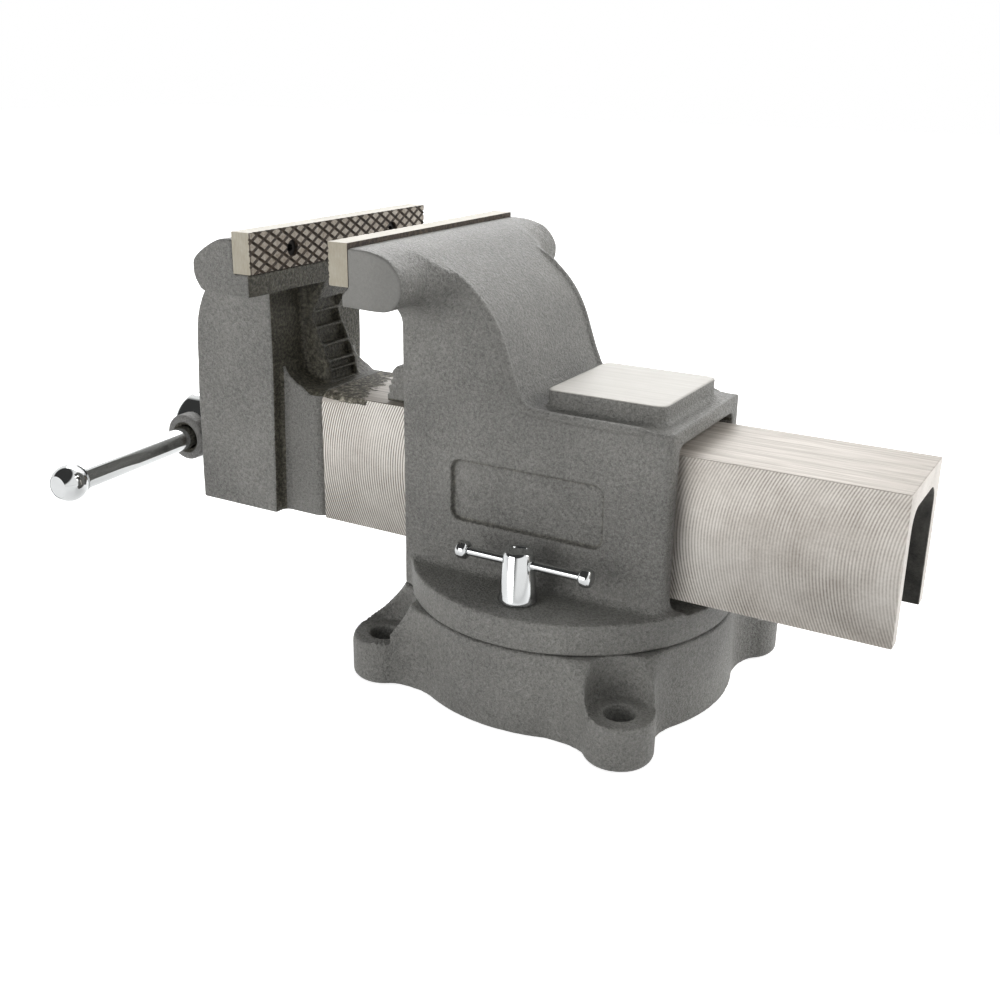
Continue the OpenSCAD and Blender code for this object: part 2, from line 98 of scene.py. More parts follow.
def join(a, b, r):
    """Union of two distance fields with a fillet of radius r where they meet."""
    return np.maximum(r, np.minimum(a, b)) - np.hypot(np.maximum(r - a, 0), np.maximum(r - b, 0))


def trim(a, b, r):
    """Intersection of two distance fields with its edge rounded to radius r."""
    return np.minimum(-r, np.maximum(a, b)) + np.hypot(np.maximum(r + a, 0), np.maximum(r + b, 0))


def ripple(x, y, z, depth):
    """The slow waves of a sand mould's wall; they only take metal away."""
    wave = (np.sin(x / 5.3 + 1.7 * np.sin(y / 8.1)) * np.sin(z / 6.1 + 1.3 * np.sin(x / 9.7))
            + np.sin(y / 6.7 + 1.1 * np.sin(z / 7.3)))
    return depth * (0.5 + 0.25 * wave)


def add_piece(name, mesh, body, materials, node=None):
    """Puts a mesh in the scene as one piece that rides on a body and may stand for a solid."""
    piece = bpy.data.objects.new(name, mesh)
    bpy.context.scene.collection.objects.link(piece)
    for material in materials:
        mesh.materials.append(material)
    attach(piece, body)
    if node:
        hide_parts(node)
    return piece


def casting(name, shape, low, high, step):
    """Mesh of the surface on which the distance field shape(x, y, z) is zero, within a box."""
    axes = [np.arange(low[i], high[i] + step, step, dtype=np.float32) for i in range(3)]
    x, y, z = axes[0][:, None, None], axes[1][None, :, None], axes[2][None, None, :]
    field = np.broadcast_to(shape(x, y, z), [len(a) for a in axes]) / step
    grid = openvdb.FloatGrid(3.0)
    grid.copyFromArray(np.clip(field, -3, 3).astype(np.float32))
    points, _, quads = grid.convertToPolygons(isovalue=0.0, adaptivity=0.0)
    mesh = bpy.data.meshes.new(name)
    faces = [tuple(map(int, f[::-1])) for f in quads]
    mesh.from_pydata(((points * step + np.array(low)) / 1000).tolist(), [], faces)
    mesh.validate()
    mesh.shade_smooth()
    return mesh


def maker(material):
    """The shader of a material, and short ways to add, wire and add up its other nodes."""
    material.use_nodes = True
    tree = material.node_tree

    def add(kind, **values):
        """A new node, with any of its settings."""
        node = tree.nodes.new("ShaderNode" + kind)
        for key, value in values.items():
            setattr(node, key, value)
        return node

    def wire(source, target):
        """Joins an output to an input."""
        tree.links.new(source, target)

    def sums(operation, *terms):
        """One step of a sum; its terms are outputs of other nodes or plain numbers."""
        node = add("Math", operation=operation)
        for i, term in enumerate(terms):
            if isinstance(term, (int, float)):
                node.inputs[i].default_value = term
            else:
                wire(term, node.inputs[i])
        return node.outputs[0]

    return tree.nodes["Principled BSDF"], add, wire, sums


def shares(sums, *parts):
    """Sum of parts, each given as (value, share)."""
    total = sums("MULTIPLY", *parts[0])
    for part in parts[1:]:
        total = sums("ADD", total, sums("MULTIPLY", *part))
    return total


def over(add, wire, where, below, above, blend="MIX"):
    """Colour below, with the colour above laid over it where the mask says so."""
    mix = add("Mix", data_type="RGBA", blend_type=blend)
    for socket, source in zip((0, 6, 7), (where, below, above)):
        wire(source, mix.inputs[socket])
    return mix.outputs[2]


def tones(add, wire, factor, stops):
    """Colour ramp from stops of (position, colour)."""
    ramp = add("ValToRGB")
    elements = ramp.color_ramp.elements
    while len(elements) < len(stops):
        elements.new(0.5)
    for element, (position, colour) in zip(elements, stops):
        element.position = position
        element.color = tuple(colour) + (1,)
    wire(factor, ramp.inputs["Fac"])
    return ramp.outputs["Color"]


def grain(add, wire, vector, scale, detail=2.0, rough=0.5, stretch=None):
    """Noise in the piece's own coordinates, drawn out along an axis if stretch says so."""
    noise = add("TexNoise")
    noise.inputs["Scale"].default_value = scale
    noise.inputs["Detail"].default_value = detail
    noise.inputs["Roughness"].default_value = rough
    if stretch:
        mapping = add("Mapping")
        mapping.inputs["Scale"].default_value = stretch
        wire(vector, mapping.inputs["Vector"])
        vector = mapping.outputs["Vector"]
    wire(vector, noise.inputs["Vector"])
    return noise.outputs["Fac"]


def relief(add, wire, height, strength, distance):
    """Normal of a fine relief; distance is its full depth in metres."""
    bump = add("Bump")
    bump.inputs["Strength"].default_value = strength
    bump.inputs["Distance"].default_value = distance
    wire(height, bump.inputs["Height"])
    return bump.outputs["Normal"]


GREY = (0.186, 0.183, 0.170)
PEEL_DEPTH = 0.0015
# over this height the ends of the wide heads were ground, below it nothing was
GROUND_ABOVE = 0.15


def enamel(name, colour, bare_at=None, smooth_beyond=None, grime_and_shade=None):
    """Grey enamel on a sand casting: fine orange peel over sand grain, dark in the pits.

    On a pad behind x = 0 whose top is at the height bare_at, in metres, the iron is machined;
    farther out along y than smooth_beyond, the casting was ground before it was painted. The last
    argument is called with a way to do sums and the coordinates: where it gives 1, the coat
    darkens, as oil and grime and as painted shade.
    """
    painted, machined = 0.5, 0.48
    material = bpy.data.materials.new(name)
    shader, add, wire, sums = maker(material)
    place = add("TexCoord").outputs["Object"]
    cloud = grain(add, wire, place, 17, 3)
    peel = grain(add, wire, place, 640, 2.5, 0.6)
    sand = grain(add, wire, place, 1500, 1.5, 0.5)
    split = add("SeparateXYZ")
    wire(place, split.inputs[0])
    speck = shares(sums, (peel, 0.5), (sand, 0.5))
    height = shares(sums, (peel, 0.65), (sand, 0.35))
    if smooth_beyond:
        ground = sums("GREATER_THAN", sums("ABSOLUTE", split.outputs["Y"]), smooth_beyond)
        ground = sums("MULTIPLY", ground, sums("GREATER_THAN", split.outputs["Z"], GROUND_ABOVE))
        rough = sums("SUBTRACT", 1.0, sums("MULTIPLY", ground, 0.8))
        speck = sums("ADD", sums("MULTIPLY", sums("SUBTRACT", speck, 0.5), rough), 0.5)
        height = sums("MULTIPLY", height, rough)
    coat = tones(add, wire, shares(sums, (cloud, 0.3), (speck, 0.7)), [
        (0.36, [c * 0.52 for c in colour]), (0.5, colour), (0.64, [c * 1.55 for c in colour])])
    # darkening for oil and grime, and painted shade where the mask stands for shade
    if grime_and_shade:
        dirt_and_shade = tones(add, wire, peel, [(0.36, (0.20, 0.19, 0.14)), (0.68, (0.62, 0.59, 0.48))])
        where = grime_and_shade(sums, split.outputs["X"], split.outputs["Y"], split.outputs["Z"])
        coat = over(add, wire, where, coat, dirt_and_shade, "MULTIPLY")
    shader.inputs["Specular IOR Level"].default_value = 0.4
    if bare_at is None:
        wire(coat, shader.inputs["Base Color"])
        shader.inputs["Roughness"].default_value = painted
        wire(relief(add, wire, height, 1.0, PEEL_DEPTH), shader.inputs["Normal"])
        return material
    off_pad = sums("ABSOLUTE", sums("SUBTRACT", split.outputs["Z"], bare_at))
    bare = sums("LESS_THAN", off_pad, 0.00045)
    bare = sums("MULTIPLY", bare, sums("GREATER_THAN", split.outputs["X"], -0.003))
    streak = grain(add, wire, place, 55, 4, 0.6, (0.3, 7, 7))
    patch = grain(add, wire, place, 26, 3)
    iron = tones(add, wire, shares(sums, (streak, 0.55), (patch, 0.45)), [
        (0.3, (0.33, 0.315, 0.285)), (0.5, (0.39, 0.375, 0.345)), (0.7, (0.445, 0.435, 0.405))])
    wire(over(add, wire, bare, coat, iron), shader.inputs["Base Color"])
    wire(sums("MULTIPLY", bare, 0.2), shader.inputs["Metallic"])
    sheen = sums("ADD", sums("MULTIPLY", bare, machined - painted), painted)
    wire(sheen, shader.inputs["Roughness"])
    lift = sums("MULTIPLY", height, sums("SUBTRACT", 1.0, sums("MULTIPLY", bare, 0.93)))
    wire(relief(add, wire, lift, 1.0, PEEL_DEPTH), shader.inputs["Normal"])
    return material


def base_shape(x, y, z):
    """Skirt, lugs with their spot faces and bolt holes, slot and hollows."""
    across = np.hypot(x, y)
    skirt = across - (SKIRT + SKIRT_FLARE - SKIRT_FLARE * z / BASE_TOP)
    body = trim(skirt, np.maximum(z - BASE_TOP, -z), 1.2)
    for angle in LUG_ANGLES:
        out = x * math.cos(angle) + y * math.sin(angle)
        side = -x * math.sin(angle) + y * math.cos(angle)
        length = LUG_CIRCLE - LUG_START
        t = np.clip((out - LUG_START) / length, 0, 1)
        half = LUG_BROAD - (LUG_BROAD - LUG_NARROW) * t
        plan = np.hypot(out - LUG_START - t * length, side) - half
        slope = (z - LUG_TOP - (LUG_END - out) * LUG_FALL) * 0.88
        body = join(body, trim(plan, np.maximum(slope, -z), 3.5), 13.0)
    body = np.maximum(body, z - BASE_TOP)
    for angle in LUG_ANGLES:
        out = x * math.cos(angle) + y * math.sin(angle) - LUG_CIRCLE
        side = -x * math.sin(angle) + y * math.cos(angle)
        ring = np.hypot(out, side)
        body = trim(body, -trim(ring - SPOT_FACE, LUG_TOP - z, 1.5), 1.2)
        body = trim(body, BOLT_HOLE - ring, 0.8)
    body = body + ripple(x, y, z, SAND_WAVE) * (z > 0.6) * (z < BASE_TOP - 0.6)
    lip = BASE_TOP - SLOT_LIP
    from_slot = np.abs(across - SLOT)
    for hollow in (np.maximum(from_slot - SLOT_MOUTH, lip - z),
                   np.maximum(from_slot - SLOT_WIDE, np.maximum(SLOT_FLOOR - z, z - lip)),
                   np.maximum(across - UNDER_RADIUS, z - UNDER_HIGH),
                   np.maximum(across - HUB_RADIUS, z - HUB_HIGH), across - PIVOT_BORE):
        body = np.maximum(body, -hollow)
    return np.maximum(body, -z)


base = casting("base_casting", base_shape, (-118, -118, -2), (118, 118, 45), 1.0)
add_piece("base_casting", base, "base", [enamel("base_enamel", GREY)], "swivel_base")

# ---------------------------------------------------------------- fixed jaw
# The fixed jaw is one casting from the turntable rim to the wide head: a box round the slide,
# an arched neck, an anvil pad and a cast pipe jaw. It turns on the base about its pivot boss.

plate_low, plate_high = corners("fixed_jaw_plate")
FIXED_FACE, JAW_HALF = plate_low[0], plate_high[1]
PLATE_LOW, TOP = plate_low[2], plate_high[2]
PLATE_THICK = plate_high[0] - plate_low[0]
SCREW_SPREAD, PLATE_SCREW_Z, SCREW_HOLE, SCREW_DEPTH = 44.0, PLATE_LOW + 9.64, 2.5, 27
# turntable: rim, and the boss on which it turns in the base
TABLE, RIM_LOW, RIM_TOP, PIVOT, PIVOT_LOW = 83.8, 43.3, 59.1, 14, 35.3
# body, anvil pad on its shoulder, and the sunk panel on both of its sides
BODY_HALF, BODY_FRONT, BODY_REAR = 44.0, FIXED_FACE + 19.5, 68.4
ANVIL = mounts["anvil"]["pos_m"][2] * 1000
SHOULDER = ANVIL - 9
PAD_MID, PAD_LONG, PAD_WIDE, PAD_CORNER = 28.9, 25, 28.5, 5.5
PANEL_X, PANEL_Z, PANEL_LONG, PANEL_HIGH, PANEL_CORNER, PANEL_DEPTH = -6, 100.7, 36.5, 10.7, 5, 2.3
# way of the slide with the wider cored space round it, lock bolts and pipe jaw
GUIDE_LOW, GUIDE_TOP, GUIDE_HALF = 62.75, 134.75, 31.5
CORE_LOW, CORE_TOP, CORE_HALF, CORE_FROM, CORE_TO = 57.0, GUIDE_TOP + 4.4, 34.5, -48.4, 34.4
LOCK_X, LOCK_HOLE, PIPE_JAW_HALF = 2.2, 6.3, 27.5
JAW_WAVE = 0.22


def curve(points, times=3):
    """Rounds a closed outline by cutting its corners; a point that is given twice stays sharp."""
    p = np.array(points, float)
    for _ in range(times):
        q = np.roll(p, -1, 0)
        p = np.stack([0.75 * p + 0.25 * q, 0.25 * p + 0.75 * q], 1).reshape(-1, 2)
    return p


def twice(*points):
    """Each point two times over, which keeps it sharp in a curve."""
    return [p for point in points for p in (point, point)]


def outline(points, x, z):
    """Distance field of a closed outline drawn in the side view."""
    near = None
    inside = np.zeros(np.broadcast_shapes(x.shape, z.shape), bool)
    for (ax, az), (bx, bz) in zip(points, np.roll(points, -1, 0)):
        ex, ez = bx - ax, bz - az
        length = ex * ex + ez * ez
        if length < 1e-9:
            continue
        t = np.clip(((x - ax) * ex + (z - az) * ez) / length, 0, 1)
        d = (x - ax - t * ex) ** 2 + (z - az - t * ez) ** 2
        near = d if near is None else np.minimum(near, d)
        if ez:
            inside ^= ((z >= az) != (z >= bz)) & (x < ax + (z - az) / ez * ex)
    return np.where(inside, -1, 1) * np.sqrt(near)


def lobe(face, way, depth, top, lip, belly):
    """Side view of the wide head, a little high on top, where the neck's outline cuts it later."""
    points = twice((PLATE_THICK, PLATE_LOW), (PLATE_THICK, top + 2)) + [
        (19, top + 2), (depth - 15.2, top), (depth - 9.3, top - 3.6),
        (depth - 2.8, top - 9.9), (depth, top - 14.5), (depth + 0.3, top - 19),
        (depth - 0.4, top - 22.9)] + belly + twice(*lip)
    return [(face + way * dx, z) for dx, z in points]


def horns(wide, start, behind):
    """Where the head's two ends stand out beside the neck, at a distance behind the face."""
    return np.clip((wide - start) / 8, 0, 1) * np.clip((74 - wide) / 5, 0, 1) * (behind > 22)


def plate_holes(body, behind, y, z):
    """Cuts the tapped holes of a plate's two screws to their depth behind the gripping face."""
    for s in (-1, 1):
        hole = np.hypot(y - s * SCREW_SPREAD, z - PLATE_SCREW_Z) - SCREW_HOLE
        body = np.maximum(body, -np.maximum(hole, behind - SCREW_DEPTH))
    return body


def fixed_jaw_shape(x, y, z):
    """Head, column and arch of the fixed jaw on its turntable, with all that is cut into it."""
    f = FIXED_FACE
    rise = TOP - SHOULDER
    wide = np.abs(y)
    lip = [(7.5, PLATE_LOW - 9.3), (7.1, PLATE_LOW - 4.4)]
    belly = [(38.0, TOP - 26.6), (34.2, TOP - 29.4), (28.5, PLATE_LOW - 10.2)]
    head = trim(outline(curve(lobe(f, 1, 40.6, TOP, lip, belly)), x, z), wide - JAW_HALF, 0.5)
    column = trim(BODY_FRONT - 0.5 - x, wide - BODY_HALF - 0.2, 1.0)
    body = join(head, column, 12 + np.clip((x - BODY_FRONT) * 0.3, 0, 7))
    # the arched back, cut through head and column at once
    crown = outline(curve(twice((f - 20, TOP - 2.4)) + [
        (f + 19, TOP - 2.2), (f + 25.8, TOP - 3.3), (f + 33, TOP - 0.072 * rise),
        (f + 40, TOP - 0.12 * rise), (f + 49, TOP - 0.19 * rise), (f + 58.9, TOP - 0.29 * rise),
        (f + 67.9, TOP - 0.41 * rise), (f + 74.4, TOP - 0.56 * rise),
        (f + 78.4, TOP - 0.715 * rise), (f + 82.4, TOP - 0.865 * rise),
        (f + 87, TOP - 0.975 * rise), (f + 93, SHOULDER)]
        + twice((BODY_REAR, SHOULDER), (BODY_REAR, 0), (f - 20, 0))), x, z)
    rear = np.clip((x - BODY_REAR + 16) / 10, 0, 1)
    body = trim(body, crown, 1.1 + 2.7 * rear + 2.6 * horns(wide, 45, x - f))
    # the raised line along the edge of the arch and of the shoulder
    line = np.hypot(crown + 0.9, wide - BODY_HALF + 0.5) - 2.3 * np.clip((x + 56) / 14, 0, 1)
    line = line + 0.3 * np.clip(x - BODY_REAR + 16, 0, 9)
    line = np.where((z > SHOULDER - 4) & (x > -58) & (x < BODY_REAR - 5), line, 9.0)
    body = join(body, line, 0.4)
    # turntable with its rounded rim, blended into the box
    across = np.hypot(x, y)
    disc = trim(across - TABLE, np.maximum(z - RIM_TOP, RIM_LOW - z), 1.5)
    body = join(body, disc, 4.5)
    body = np.maximum(body, RIM_LOW - z)
    pivot = np.maximum(across - PIVOT, np.maximum(PIVOT_LOW - z, z - 50))
    body = np.minimum(body, pivot)
    # anvil pad
    px, py = np.maximum(np.abs(x - PAD_MID) - PAD_LONG, 0), np.maximum(wide - PAD_WIDE, 0)
    body = join(body, trim(np.hypot(px, py) - PAD_CORNER, z - ANVIL, 0.5), 2.6)
    # sunk panels, left bare
    px, pz = np.abs(x - PANEL_X) - PANEL_LONG, np.abs(z - PANEL_Z) - PANEL_HIGH
    panel = np.hypot(np.maximum(px, 0), np.maximum(pz, 0)) + np.minimum(np.maximum(px, pz), 0)
    body = trim(body, -trim(panel - PANEL_CORNER, BODY_HALF - PANEL_DEPTH - wide, 0.2), 0.2)
    # pipe jaw with its teeth
    teeth = [(-2.5, 0), (-2.5, 4), (-1.1, 4.2), (-1.9, 8.6), (0.2, 8.8), (-0.4, 12), (1.2, 12.2),
             (0.6, 16), (3.4, 19.2)]
    teeth = [(f + dx, GUIDE_TOP + dz) for dx, dz in teeth]
    teeth = outline([(-70, GUIDE_TOP)] + teeth + [(-70, teeth[-1][1])], x, z)
    body = join(body, trim(teeth, wide - PIPE_JAW_HALF, 0.8), 0.8)
    # way of the slide, relieved between and behind its two guides
    way = np.maximum(wide - GUIDE_HALF, np.maximum(GUIDE_LOW - z, z - GUIDE_TOP))
    cored = trim(wide - CORE_HALF, np.maximum(CORE_LOW - z, z - CORE_TOP), 4.0)
    relieved = np.minimum(np.maximum(CORE_FROM - x, x - CORE_TO), BODY_REAR - 8 - x)
    body = body + ripple(x, y, z, JAW_WAVE) * (z < ANVIL - 1) * (z > RIM_LOW + 0.7)
    body = trim(body, -np.minimum(way, np.maximum(cored, relieved)), 0.6)
    for s in (-1, 1):
        body = np.maximum(body, LOCK_HOLE - np.hypot(x - LOCK_X, y - s * SLOT))
    return plate_holes(body, x - f, y, z)


def panel_shade_and_guide_grease(sums, x, y, z):
    """Painted shade along the inner edge of the sunk panel, and grease with painted shade inside
    the slide's guide.
    """
    squares = []
    for place, middle, half in ((x, PANEL_X, PANEL_LONG), (z, PANEL_Z, PANEL_HIGH)):
        off = sums("ABSOLUTE", sums("SUBTRACT", place, middle / 1000))
        off = sums("MAXIMUM", sums("SUBTRACT", off, half / 1000), 0.0)
        squares.append(sums("MULTIPLY", off, off))
    from_edge = sums("SUBTRACT", sums("SQRT", sums("ADD", *squares)), (PANEL_CORNER - 0.4) / 1000)
    near = sums("SUBTRACT", 1.0, sums("MULTIPLY", sums("ABSOLUTE", from_edge), 800.0))
    on_wall = sums("GREATER_THAN", sums("ABSOLUTE", y), (BODY_HALF - 4) / 1000)
    edge = sums("MULTIPLY", sums("MAXIMUM", sums("MULTIPLY", near, on_wall), 0.0), 0.6)
    # inside the guide: grease, and painted shade of the dark opening
    guide = sums("LESS_THAN", sums("ABSOLUTE", y), CORE_HALF / 1000)
    guide = sums("MULTIPLY", guide, sums("GREATER_THAN", z, (GUIDE_LOW - 1) / 1000))
    guide = sums("MULTIPLY", guide, sums("LESS_THAN", z, (GUIDE_TOP + 1.5) / 1000))
    return sums("MAXIMUM", edge, sums("MULTIPLY", guide, 0.9))


fixed_enamel = enamel("fixed_jaw_enamel", GREY, ANVIL / 1000, (JAW_HALF - 0.5) / 1000, panel_shade_and_guide_grease)
fixed_jaw = casting("fixed_jaw_casting", fixed_jaw_shape, (-98, -86, 33), (86, 86, 224), 0.85)
add_piece("fixed_jaw_casting", fixed_jaw, "turret", [fixed_enamel], "vise_body")

# ---------------------------------------------------------------- front jaw
# The front jaw is the second iron casting: a narrow body with the same wide head, a boss for the
# screw, a hollowed rib with six pipe pockets, and the root from which the milled slide runs out.

FRONT_FACE = corners("front_jaw_plate")[1][0]
FRONT_LOW, FRONT_HIGH = corners("front_jaw")
SLIDE_LOW, SLIDE_TOP, SLIDE_HALF = FRONT_LOW[2], FRONT_LOW[2] + 71.4, 31.2
FRONT_HALF, MILLED_FROM = 39.5, -137.4
# the rear wall, which leans a little below its bend over the slide
WEB, WEB_BEND, WEB_LEAN = FRONT_FACE - 20.6, 16, 0.03
RINGS_LOW, RINGS_HIGH = corners("handle_rings")
SCREW_Z = (RINGS_LOW[2] + RINGS_HIGH[2]) / 2
BOSS, BOSS_RADIUS, BUSH_HOLE, WALL_INNER = FRONT_FACE - 86.2, 24, 15.0, FRONT_FACE - 50
RIB_HALF, RIB_FOOT = 13.5, -3.2
# the rib's pockets: lower and upper edge over the slide, and the hollow's depth behind the face
POCKETS = ((0.6, 5.6, 6.0), (6.8, 10.3, 7.2), (11.6, 18.7, 10.0), (19.9, 28.0, 13.8),
           (29.3, 36.5, 17.6), (38.4, 44.8, 15.6))
CHANNEL_HALF, CHANNEL_TOP, CHANNEL_ROUND = 23.4, SLIDE_TOP - 10, 10.0


def front_jaw_shape(x, y, z):
    """Head, body and arch of the front jaw, its rib and boss, and the root of the slide."""
    f = FRONT_FACE
    rise = TOP - SLIDE_TOP
    wide = np.abs(y)
    lip = [(1.9, PLATE_LOW - 11.5), (1.3, PLATE_LOW)]
    top = TOP - 1.4
    belly = [(35.6, top - 26.4), (33.0, top - 29.6), (25.0, PLATE_LOW - 11.6)]
    head = trim(outline(curve(lobe(f, -1, 38.0, top, lip, belly)), x, z), wide - JAW_HALF, 0.7)
    # body, and the slide's root that runs out of its rear wall under a cove
    web = WEB - WEB_LEAN * np.clip(SLIDE_TOP + WEB_BEND - z, 0, 90)
    skin = np.clip((x - WEB - 11) / 6, 0, 1)
    root = join(x - web + 4, np.maximum(z - SLIDE_TOP, x - MILLED_FROM), 24.0)
    root = trim(root, wide - SLIDE_HALF - 0.25, 1.3 + 5.5 * skin)
    column = join(trim(x - web, wide - FRONT_HALF - 0.2, 1.1), root, 3.5)
    body = join(head, column, np.clip(6 + (WEB - x) * 0.7, 5, 20))
    # the arched front, cut through head and column at once
    crown = outline(curve(twice((f + 40, 0), (f - 77.0, 0), (f - 77.0, SLIDE_LOW)) + [
        (f - 76.0, SLIDE_TOP - 13), (f - 74.9, SLIDE_TOP + 12), (f - 73.5, SLIDE_TOP + 0.34 * rise),
        (f - 71.4, SLIDE_TOP + 0.44 * rise), (f - 66.8, SLIDE_TOP + 0.555 * rise),
        (f - 58.5, SLIDE_TOP + 0.66 * rise), (f - 48.2, SLIDE_TOP + 0.75 * rise),
        (f - 38.2, SLIDE_TOP + 0.83 * rise), (f - 33.4, TOP - 11.0), (f - 28, TOP - 7.6),
        (f - 22, TOP - 4.7), (f - 17, TOP - 3.6)] + twice((f + 40, TOP - 3.4))), x, z)
    body = trim(body, crown, 1.3 + 2.6 * horns(wide, 41, f - x))
    body = np.maximum(body, x - np.where(z > SLIDE_TOP + 30, f, MILLED_FROM))
    # rib of the pipe jaw; its foot stays flat in front, where the fixed jaw's edge comes near
    rib = outline(curve(twice((WEB - 2, SLIDE_TOP - 1), (f - 3.0, SLIDE_TOP - 1)) + [
        (f - 3.4, SLIDE_TOP + 5.2), (f - 4.4, SLIDE_TOP + 11), (f - 7.3, SLIDE_TOP + 17.3),
        (f - 10.8, SLIDE_TOP + 25.8), (f - 14.6, SLIDE_TOP + 33.6), (f - 14.6, SLIDE_TOP + 38),
        (f - 10.8, SLIDE_TOP + 44), (f - 6.5, SLIDE_TOP + 53)]
        + twice((f - 5, SLIDE_TOP + 57), (WEB - 2, SLIDE_TOP + 57)), 2), x, z)
    body = join(body, trim(rib, wide - RIB_HALF, 2.0), 3.0)
    foot = np.minimum(z - SLIDE_TOP - 0.1, SLIDE_TOP + 20 - z)
    body = np.maximum(body, np.minimum(x - f - RIB_FOOT, foot))
    for low, high, back in POCKETS:
        sill = SLIDE_TOP + low + 0.15 * (x - f + back)
        pocket = trim(np.maximum(sill - z, z - SLIDE_TOP - high), wide - RIB_HALF + 2.7, 1.5)
        body = trim(body, -trim(pocket, f - back - x, 0.8), 0.7)
    # boss and bore of the screw, and the channel under the slide's roof
    ring = np.hypot(y, z - SCREW_Z)
    body = join(body, trim(ring - BOSS_RADIUS, np.maximum(BOSS - x, x - f + 70), 1.6), 3.0)
    body = trim(body, SLIDE_LOW - z, 1.0)
    body = body + ripple(x, y, z, JAW_WAVE) * (z > SLIDE_LOW + 1) * (x < MILLED_FROM - 1)
    body = np.maximum(body, BUSH_HOLE - ring)
    out_y = np.maximum(wide - CHANNEL_HALF + CHANNEL_ROUND, 0)
    out_z = np.maximum(z - CHANNEL_TOP + CHANNEL_ROUND, 0)
    channel = np.hypot(out_y, out_z) - CHANNEL_ROUND
    body = trim(body, -np.maximum(channel, WALL_INNER - x), 0.8)
    return plate_holes(body, f - x, y, z)


def throat_oil_and_shade(sums, x, y, z):
    """1 on the rear wall and the cove and in the rib's pockets, as oil and painted shade, and on
    the lip under the plate.
    """
    wide = sums("ABSOLUTE", y)
    lean = sums("MAXIMUM", sums("SUBTRACT", (SLIDE_TOP + WEB_BEND) / 1000, z), 0.0)
    lean = sums("MULTIPLY", lean, WEB_LEAN)
    behind = sums("GREATER_THAN", sums("ADD", x, lean), (WEB - 1.0) / 1000)
    behind = sums("MULTIPLY", behind, sums("LESS_THAN", wide, (FRONT_HALF - 0.4) / 1000))
    flank = sums("MULTIPLY", sums("LESS_THAN", wide, (SLIDE_HALF + 0.9) / 1000),
                 sums("GREATER_THAN", wide, (SLIDE_HALF - 4) / 1000))
    flank = sums("MULTIPLY", flank, sums("LESS_THAN", z, (SLIDE_TOP + 11) / 1000))
    flank = sums("MAXIMUM", sums("MULTIPLY", flank, sums("LESS_THAN", z, (SLIDE_TOP - 3) / 1000)),
                 sums("MULTIPLY", flank, sums("GREATER_THAN", wide, (SLIDE_HALF - 1) / 1000)))
    lip = sums("MULTIPLY", sums("GREATER_THAN", x, (FRONT_FACE - 2.6) / 1000),
               sums("GREATER_THAN", z, (PLATE_LOW - 13) / 1000))
    under = sums("LESS_THAN", z, (PLATE_LOW - 12) / 1000)
    # behind the rear wall and in the pockets: oil and painted shade
    inner = sums("MULTIPLY", sums("MULTIPLY", behind, under), sums("SUBTRACT", 1.0, flank))
    return sums("MAXIMUM", inner, lip)


jaw_enamel = enamel("jaw_enamel", GREY, grime_and_shade=throat_oil_and_shade)
front_jaw = casting("front_jaw_casting", front_jaw_shape, (-230, -78, 61), (-135, 78, 224), 0.85)
add_piece("front_jaw_casting", front_jaw, "front", [jaw_enamel], "front_jaw")

# ---------------------------------------------------------------- slide
# Behind its root the slide is milled: a face cutter leaves bowed lines on the sides, the top is
# planed lengthwise up to the rough cast skin by the jaw, and the channel beneath keeps its skin.

# radius of the face cutter, its feed from line to line and the height of its centre, in metres
CUTTER, PITCH, CUT_CENTRE = 0.074, 0.00152, 0.098
# the rough skin reaches this far along and down the slide; the dark line on the arris goes on
SKIN_END, SKIN_DEPTH, ARRIS, ARRIS_END, SLIDE_END = -124.0, 3.2, 0.65, -0.072, FRONT_HIGH[0]


def pick(add, wire, where, first, second):
    """The first value, or the second one where the mask is 1."""
    mix = add("Mix")
    for socket, source in zip((0, 2, 3), (where, first, second)):
        wire(source, mix.inputs[socket])
    return mix.outputs[0]


milled = bpy.data.materials.new("milled_iron")
shader, add, wire, sums = maker(milled)
place = add("TexCoord").outputs["Object"]
split = add("SeparateXYZ")
wire(place, split.inputs[0])
along, beside, above = (split.outputs[axis] for axis in "XYZ")
# bowed lines of the cutter, which fade in patches and grow weaker towards the rear
dz = sums("SUBTRACT", above, CUT_CENTRE)
bow = sums("SQRT", sums("SUBTRACT", CUTTER ** 2, sums("MULTIPLY", dz, dz)))
drift = grain(add, wire, place, 9, 2)
phase = sums("ADD", sums("ADD", along, bow), sums("MULTIPLY", drift, 0.004))
line = sums("SINE", sums("MULTIPLY", phase, 2 * math.pi / PITCH))
fade = sums("SUBTRACT", sums("MULTIPLY", grain(add, wire, place, 24, 3, 0.6), 2.6), 0.55)
side_line = sums("MULTIPLY", line, sums("MAXIMUM", sums("MINIMUM", fade, 1.0), 0.15))
weaker = sums("SUBTRACT", 0.72, sums("MULTIPLY", along, 2.1))
on_side = sums("GREATER_THAN", sums("ABSOLUTE", beside), (SLIDE_HALF - 0.3) / 1000)
side_line = sums("MULTIPLY", sums("MULTIPLY", side_line, weaker), on_side)
# iron between the lines, and the lengthwise strokes on the top, which is painted darker towards the
# rear as shade
streak = grain(add, wire, place, 60, 4, 0.65, (0.3, 9, 9))
fine = grain(add, wire, place, 260, 3, 0.6, (0.12, 6, 6))
cloud = grain(add, wire, place, 21, 5, 0.65)
speck = grain(add, wire, place, 900, 2, 0.6)
is_top = sums("GREATER_THAN", above, (SLIDE_TOP - 0.25) / 1000)
side_tone = shares(sums, (side_line, 0.42), (cloud, 0.75), (speck, 0.25))
